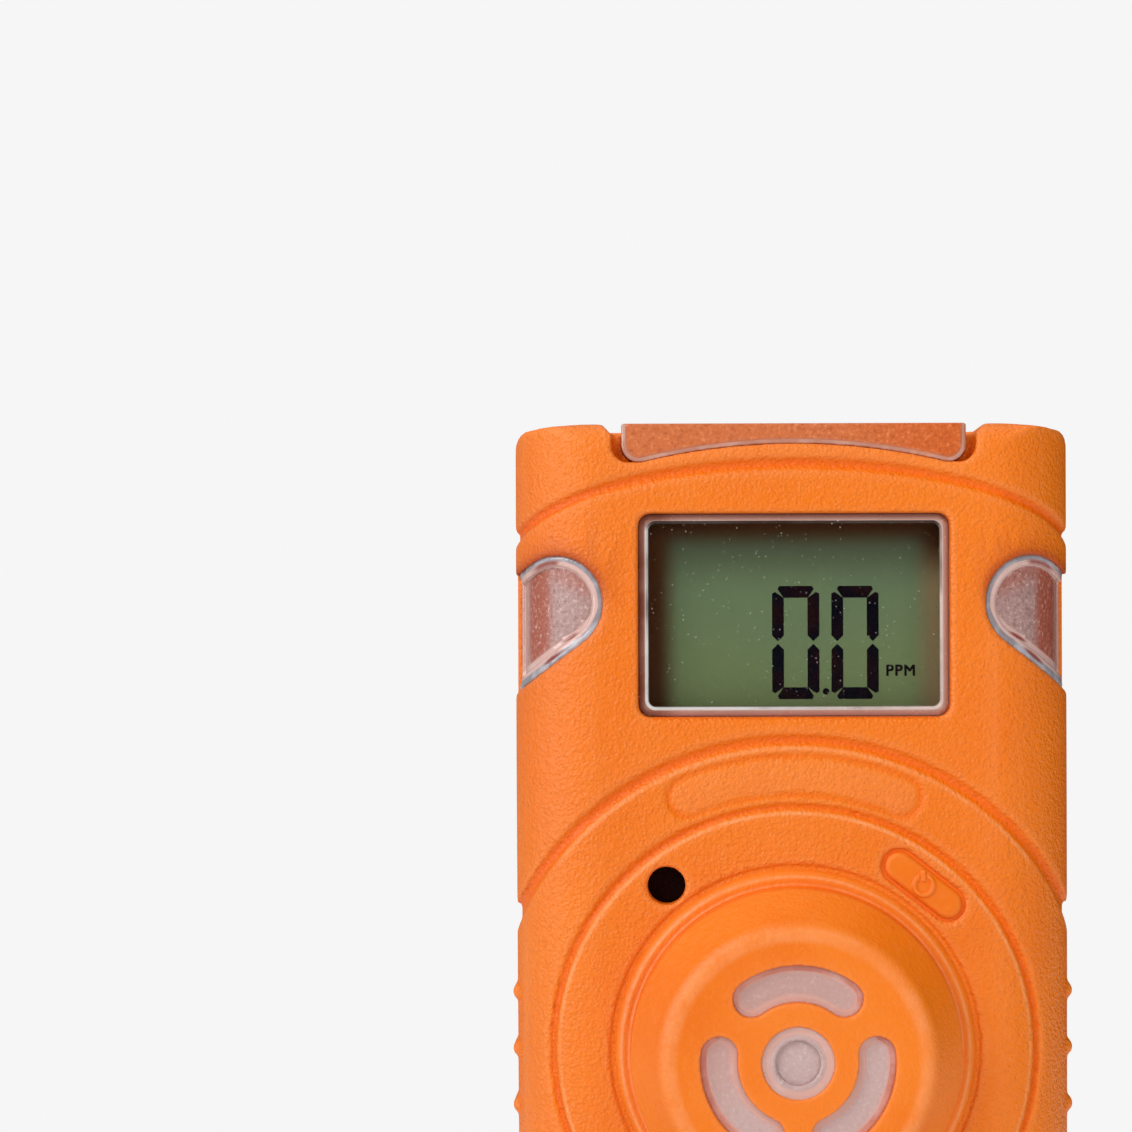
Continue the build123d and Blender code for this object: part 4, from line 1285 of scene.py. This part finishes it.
    def unit(self, level: float) -> bpy.types.Object:
        """The unit of the reading, in small capitals made heavier by shifted copies.

        Args:
            level: the figures' front face.

        Returns:
            The unit.
        """
        x, z = self.unit_place
        bpy.ops.object.select_all(action="DESELECT")
        bpy.ops.object.text_add(location=(x, level, z), rotation=(math.pi / 2, 0, 0))
        text = bpy.context.active_object
        text.data.body = "PPM"
        text.data.size = self.unit_size
        text.data.space_character = 1.14
        bpy.ops.object.convert(target="MESH")
        self.bench.settle(text, "display_unit")
        self.bench.edit(text, lambda: bpy.ops.mesh.remove_doubles(threshold=0.001 * MM),
                        lambda: bpy.ops.mesh.normals_make_consistent(inside=False))
        self.bench.modify(text, "SOLIDIFY", thickness=self.film, offset=-1.0)
        across, up = self.unit_weight
        shifts = ((across, 0), (0, up), (across, up))
        heavier = [self.bench.copy(text, f"unit_{number}", (x, -0.001 * MM * number, z))
                   for number, (x, z) in enumerate(shifts, start=1)]
        return self.bench.join("display_unit", text, *heavier)


@dataclass
class AlarmLenses:
    """The three clear lenses over the alarm lights."""

    bench: Bench
    rim: float = 0.92 * MM
    growth: float = 0.20 * MM
    pockets: tuple[tuple[Pair, float, Pair], ...] = (
        ((0.8 * MM, 3.45 * MM), -24.0, (1.5 * MM, 0.6 * MM)),
        ((-1.25 * MM, -3.05 * MM), -30.0, (1.0 * MM, 0.22 * MM)),
        ((0.2 * MM, -4.75 * MM), -39.0, (1.3 * MM, 0.20 * MM)),
    )
    top_half: float = 15.1 * MM
    top_corner: float = 13.5 * MM
    top_low: float = 81.5 * MM
    top_mid: float = 83.15 * MM

    def build(self) -> None:
        """Builds and dresses the lenses."""
        for node in ("alarm_lens_left", "alarm_lens_right"):
            lens = self.bench.soften(node, f"{node}_moulding", 0.11 * MM, 4, 90000)
            places, normals = points_of(lens)
            depth = lens_depth(places)
            skirt = rise(depth, 0.5 * MM, 0.1 * MM)[:, None]
            put_points(lens, places + normals * (self.growth * (0.4 + 0.6 * skirt)))
            self.mark(lens, places, depth)
            self.bench.set_piece(lens, "case", "clear_plastic", Finish.CLEAR, [node])
        top = self.bench.soften("alarm_lens_top", "alarm_lens_top_moulding", 0.14 * MM, 3, 120000)
        places, normals = points_of(top)
        depth = self.top_depth(places)
        put_points(top, places + normals * (0.05 * MM * (normals[:, 2] < 0.5))[:, None])
        store(top, "border", 1 - rise(depth, 0, 0.9 * MM))
        store(top, "frost", np.maximum(rise(depth, 0.34 * MM, 0.52 * MM), rise(normals[:, 2], 0.8, 0.97)))
        store(top, "warm", rise(places[:, 0], 2 * MM, 14 * MM))
        store(top, "pocket", np.zeros(len(places)))
        self.bench.set_piece(top, "case", "clear_plastic", Finish.TOP_CLEAR, ["alarm_lens_top"])

    def mark(self, lens: bpy.types.Object, places: np.ndarray, depth: np.ndarray) -> None:
        """Marks a side lens's polished border, its warm side, the painted shadow along its top and the painted
        shade in its corners.

        Args:
            lens: the lens.
            places: its points.
            depth: how far each point lies inside the outline.
        """
        x, z = np.abs(places[:, 0]) - LENS_CENTRE[0], places[:, 2] - LENS_CENTRE[1]
        low = rise(z + 0.6 * x, -2.6 * MM, -3.6 * MM)
        store(lens, "border", 1 - rise(depth, 0, (1.0 + 0.35 * low) * MM))
        inside = depth - self.rim - 0.35 * MM * low
        store(lens, "frost", rise(inside, -0.1 * MM, 0.1 * MM) * (1 - 0.65 * rise(x, 2.2 * MM, 2.9 * MM)))
        # The case shows through on the outer side; the top takes painted shadow from the shell's edge above.
        beside, above = rise(x, -0.1 * MM, 1.1 * MM), rise(z - 0.4 * x, 1.0 * MM, 2.8 * MM)
        store(lens, "warm", np.maximum(beside, 0.6 * above))
        # Painted shade in the lens's dark pockets, as soft ovals.
        spots = [self.spot(x, z, *pocket) for pocket in self.pockets]
        # The upper pocket keeps to the inner part of the border.
        spots[0] *= rise(depth, 0.28 * MM, 0.42 * MM) * rise(depth, 0.80 * MM, 0.60 * MM)
        store(lens, "pocket", 0.85 * np.max(spots, axis=0))

    @staticmethod
    def spot(x: np.ndarray, z: np.ndarray, middle: Pair, turn: float, half: Pair) -> np.ndarray:
        """A soft oval mark.

        Args:
            x: the points across.
            z: the points up.
            middle: the oval's middle.
            turn: how far its long axis is turned, in degrees.
            half: half its length and half its width.

        Returns:
            1 inside the oval, 0 outside.
        """
        c, s = math.cos(math.radians(turn)), math.sin(math.radians(turn))
        across, up = x - middle[0], z - middle[1]
        far = np.hypot((across * c + up * s) / half[0], (up * c - across * s) / half[1])
        return rise(far, 1.2, 0.5)

    def top_depth(self, places: np.ndarray) -> np.ndarray:
        """How far points lie inside the top lens's front outline, in metres."""
        x, z = np.abs(places[:, 0]), places[:, 2]
        low = self.top_mid - (self.top_mid - self.top_low) * (x / self.top_corner) ** 2
        edge = np.minimum(self.top_half - x, z - low)
        r = self.top_half - self.top_corner
        corner = r - np.hypot(x - self.top_corner, z - self.top_low - r)
        return np.where((x > self.top_corner) & (z < self.top_low + r), corner, edge)


@dataclass
class ControlKey:
    """The power button, its switch and the sounder opposite."""

    bench: Bench
    length: float = 7.9 * MM
    width: float = 2.55 * MM
    turn: float = 38.0
    web_out: float = 0.36 * MM
    web_in: float = -0.06 * MM
    web_thick: float = 0.35 * MM
    web_level: float = -10.48 * MM

    def build(self) -> None:
        """Builds and dresses the button and the sounder."""
        key = self.bench.soften("power_button", "power_key", 0.07 * MM, 3, 90000)
        store_relief(key, 0.006 * MM)
        self.bench.set_piece(key, "button", "key_orange", Finish.KEY, ["power_button"])
        self.web()
        for node, finish in (("power_switch", Finish.CHIP), ("switch_plunger", Finish.WHITE),
                             ("sounder", Finish.CAN), ("sounder_gasket", Finish.SEAL),
                             ("sounder_mesh", Finish.CLOTH)):
            self.bench.dress([node], finish)

    def web(self) -> None:
        """The soft web moulded around the key, which fills its gap below the surface."""
        middle, _ = box_of("power_button")
        run = (self.length - self.width) / 2
        pads = []
        for grow, depth in ((self.web_out, self.web_thick), (self.web_in, 4 * self.web_thick)):
            pad = self.bench.primitive("cylinder", "pad", vertices=64, radius=self.width / 2 + grow,
                                       depth=depth, location=(0, 0, 0))
            for side in (1, -1):
                self.bench.edit(pad, lambda: bpy.ops.transform.translate(value=(side * run, 0, 0)),
                                pick=lambda p: side * p.x > 1e-6)
            pads.append(pad)
        web = self.bench.cut(*pads)
        web.rotation_euler = (math.pi / 2, math.radians(self.turn), 0)
        web.location = (middle[0], self.web_level, middle[2])
        self.bench.settle(web, "key_web")
        self.bench.modify(web, "BEVEL", width=0.1 * MM, segments=3, limit_method="ANGLE")
        web.data.shade_smooth()
        # The whole web takes the painted groove shade and no paler edges.
        store(web, "hollow", np.full(len(web.data.vertices), 0.7))
        store(web, "ridge", np.zeros(len(web.data.vertices)))
        self.bench.set_piece(web, "case", "key_orange", Finish.KEY)


@dataclass
class Electronics:
    """Everything on the board and the cell that feeds it."""

    bench: Bench

    def build(self) -> None:
        """Dresses the hidden parts."""
        for finish, nodes in (
            (Finish.BOARD, ["main_board"]),
            (Finish.SCREW, ["board_screws"]),
            (Finish.CHIP, ["board_chips", "infrared_module"]),
            (Finish.LED, ["alarm_leds"]),
            (Finish.WRAP, ["battery"]),
            (Finish.NICKEL, ["battery_tabs"]),
            (Finish.FOAM, ["battery_pad"]),
            (Finish.CAN, ["vibration_motor"]),
            (Finish.SEAL, ["motor_boot"]),
            (Finish.STEEL, ["vibration_weight"]),
        ):
            self.bench.dress(nodes, finish)


@dataclass
class BeltClip:
    """Base plate, sprung lever, pin, torsion spring and screws."""

    bench: Bench
    pin: Pair = (16.6 * MM, 62.0 * MM)
    coil_r: float = 1.72 * MM
    wire_r: float = 0.36 * MM
    pitch: float = 0.74 * MM
    turns: int = 5
    base_leg: tuple[Pair, Pair] = ((1.9 * MM, 6.8 * MM), (0.6 * MM, 2.6 * MM))
    lever_leg: Pair = (3.0 * MM, 7.8 * MM)
    screw_places: tuple[Pair, Pair] = ((0.0, 47.5 * MM), (0.0, 72.5 * MM))

    def build(self) -> None:
        """Builds and dresses the clip."""
        base = self.bench.soften("clip_base", "clip_base_plate", 0.15 * MM, 2, 90000)
        self.bench.set_piece(base, "case", "steel", Finish.STEEL, ["clip_base"])
        lever = self.bench.soften("clip_lever", "clip_lever_plate", 0.15 * MM, 2, 110000)
        self.press_ribs(lever)
        self.bench.set_piece(lever, "lever", "steel", Finish.STEEL, ["clip_lever"])
        pin = self.bench.soften("clip_pin", "clip_pin_riveted", 0.09 * MM, 3, 40000)
        self.bench.set_piece(pin, "case", "steel", Finish.STEEL, ["clip_pin"])
        self.spring()
        screw_set(self.bench, "clip_screws", "clip_screw", self.screw_places, (1.9 * MM, 0.6 * MM), 0.1 * MM,
                  (15.0, 50.0))

    def press_ribs(self, lever: bpy.types.Object) -> None:
        """Presses a stiffening rib into the lever and grip ridges into its thumb end."""
        places, _ = points_of(lever)
        x, z = np.abs(places[:, 0]), places[:, 2]
        plate = places[:, 1] > 17.6 * MM
        rib = rise(x, 2.0 * MM, 1.2 * MM) * rise(z, 47.5 * MM, 49.0 * MM) * rise(z, 68.0 * MM, 66.5 * MM)
        grip = rise(x, 4.6 * MM, 4.2 * MM) * rise(z, 70.0 * MM, 70.6 * MM) * rise(z, 78.2 * MM, 77.6 * MM)
        wave = 0.5 + 0.5 * np.cos(2 * math.pi * (z - 71.0 * MM) / (1.75 * MM))
        outside = rise(places[:, 1] - self.spine(z), -0.1 * MM, 0.4 * MM)
        places[:, 1] += plate * (0.45 * MM * rib + 0.22 * MM * grip * wave * outside)
        put_points(lever, places)

    @staticmethod
    def spine(z: np.ndarray) -> np.ndarray:
        """The middle of the lever's thumb end, as depth against height."""
        return 19.6 * MM + (z - 70.0 * MM) * (1.3 / 9.5)

    def spring(self) -> None:
        """A torsion spring wound on the pin, with a leg on the base and one on the lever."""
        y, z = self.pin
        reach = self.pitch * self.turns / 2
        steps = 20
        last = self.turns * steps + steps // 2
        route = [(-reach, y - self.coil_r - off, z + up) for off, up in self.base_leg]
        for step in range(last + 1):
            turn = 2 * math.pi * step / steps
            route.append((2 * reach * step / last - reach, y - self.coil_r * math.cos(turn),
                          z - self.coil_r * math.sin(turn)))
        route += [(reach, y + self.coil_r, z + up) for up in self.lever_leg]
        wire = bpy.data.curves.new("clip_torsion_spring", "CURVE")
        wire.dimensions = "3D"
        wire.bevel_depth = self.wire_r
        wire.bevel_resolution = 4
        wire.use_fill_caps = True
        line = wire.splines.new("NURBS")
        line.points.add(len(route) - 1)
        for point, place in zip(line.points, route):
            point.co = (*place, 1.0)
        line.order_u = 3
        line.use_endpoint_u = True
        line.resolution_u = 2
        spring = bpy.data.objects.new("clip_torsion_spring", wire)
        bpy.context.scene.collection.objects.link(spring)
        self.bench.take(spring)
        bpy.ops.object.convert(target="MESH")
        spring = bpy.context.active_object
        self.bench.edit(spring, lambda: bpy.ops.mesh.remove_doubles(threshold=0.001 * MM),
                        lambda: bpy.ops.mesh.normals_make_consistent(inside=False))
        spring.data.shade_smooth()
        self.bench.paint.lay(spring, Finish.SPRING)
        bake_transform(spring)
        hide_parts("clip_spring")


# ---------------------------------------------------------------- studio


@dataclass
class Studio:
    """Pale floor, soft lights and the camera."""

    camera_place: Point = (-8.0 * MM, -211.0 * MM, 67.0 * MM)
    lens: float = 72.6
    shift: Pair = (-0.121, 0.054)
    roll: float = 0.17
    floor_back: float = 85.0 * MM
    floor_half: float = 0.6
    floor_fade: Pair = (0.16, 0.50)
    pale: float = 0.921
    around: float = 0.17
    from_left: float = 0.28
    from_above: float = 0.12

    def build(self) -> None:
        """Sets the stage."""
        self.world()
        self.floor()
        self.light("key_light", (-0.40, -0.38, 0.46), 0.42, 2.85)
        self.light("fill_light", (0.32, -0.50, 0.27), 0.36, 1.25).visible_glossy = False
        self.light("sheen_light", (-0.55, -0.28, 0.10), 0.30, 1.6).visible_diffuse = False
        self.light("top_light", (0.0, 0.10, 0.60), 0.45, 0.8)
        self.camera()
        bpy.context.scene.view_settings.view_transform = "Standard"

    def world(self) -> None:
        """White surroundings: full strength to the eye, softer as light."""
        g = Graph("studio", world=True)
        lean = g.node("ShaderNodeVectorMath", {"operation": "DOT_PRODUCT"},
                      {0: g.way, 1: (-self.from_left, 0.0, self.from_above)})
        level = (Value(g, lean.outputs["Value"]) + self.around).clamped()
        lit = g.node("ShaderNodeBackground", {}, {"Color": grey(1.0), "Strength": level})
        seen = g.node("ShaderNodeBackground", {}, {"Color": grey(self.pale)})
        eye = g.node("ShaderNodeLightPath", {}, {}).outputs["Is Camera Ray"]
        both = g.node("ShaderNodeMixShader", {}, {0: eye, 1: lit.outputs[0], 2: seen.outputs[0]})
        bpy.context.scene.world = g.finish(both)

    def floor(self) -> None:
        """A pale sheet under the object, which glows a little and fades into the surroundings."""
        bpy.ops.object.select_all(action="DESELECT")
        bpy.ops.mesh.primitive_plane_add(size=1.0, location=(0, self.floor_back - self.floor_half, 0))
        sheet = bpy.context.active_object
        sheet.name = "studio_floor"
        sheet.scale = (2 * self.floor_half, 2 * self.floor_half, 1)
        bpy.ops.object.transform_apply(location=True, rotation=True, scale=True)
        g = Graph("studio_floor")
        x, y, _ = g.axis()
        far = ((x * x + y * y) ** 0.5).step(*self.floor_fade)
        tone = g.mix(far, g.mix(g.noise(4, 2), grey(0.34), grey(0.32)), grey(0.02))
        glow = g.mix(far, g.mix(g.noise(4, 2), grey(0.60), grey(0.59)), grey(0.91))
        shader = g.principled(Base_Color=tone, Roughness=0.9, Emission_Color=glow, Emission_Strength=1.0,
                              Normal=g.bump(g.noise(900, 2), 0.02 * MM), Specular_IOR_Level=0.1)
        sheet.data.materials.append(g.finish(shader))

    @staticmethod
    def light(name: str, place: Point, size: float, power: float) -> bpy.types.Object:
        """A square soft light aimed at the middle of the object."""
        data = bpy.data.lights.new(name, "AREA")
        data.size, data.energy = size, power
        lamp = bpy.data.objects.new(name, data)
        lamp.location = place
        lamp.rotation_euler = (Vector((0, 0, 0.05)) - Vector(place)).to_track_quat("-Z", "Y").to_euler()
        bpy.context.scene.collection.objects.link(lamp)
        return lamp

    def camera(self) -> None:
        """The camera, square to the front of the case."""
        data = bpy.data.cameras.new("camera")
        data.sensor_width, data.lens = 36.0, self.lens
        data.shift_x, data.shift_y = self.shift
        data.clip_start = 0.01
        view = bpy.data.objects.new("camera", data)
        view.location = self.camera_place
        view.rotation_euler = (math.pi / 2, math.radians(self.roll), 0)
        bpy.context.scene.collection.objects.link(view)
        bpy.context.scene.camera = view


def main() -> None:
    """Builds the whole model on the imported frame."""
    logging.basicConfig(level=logging.INFO, format="%(message)s")
    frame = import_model()
    bench = Bench(frame, Paint())
    for assembly in (CaseShells, SensorHead, Display, AlarmLenses, ControlKey, Electronics, BeltClip):
        assembly(bench).build()
    Studio().build()


if __name__ == "__main__":
    main()
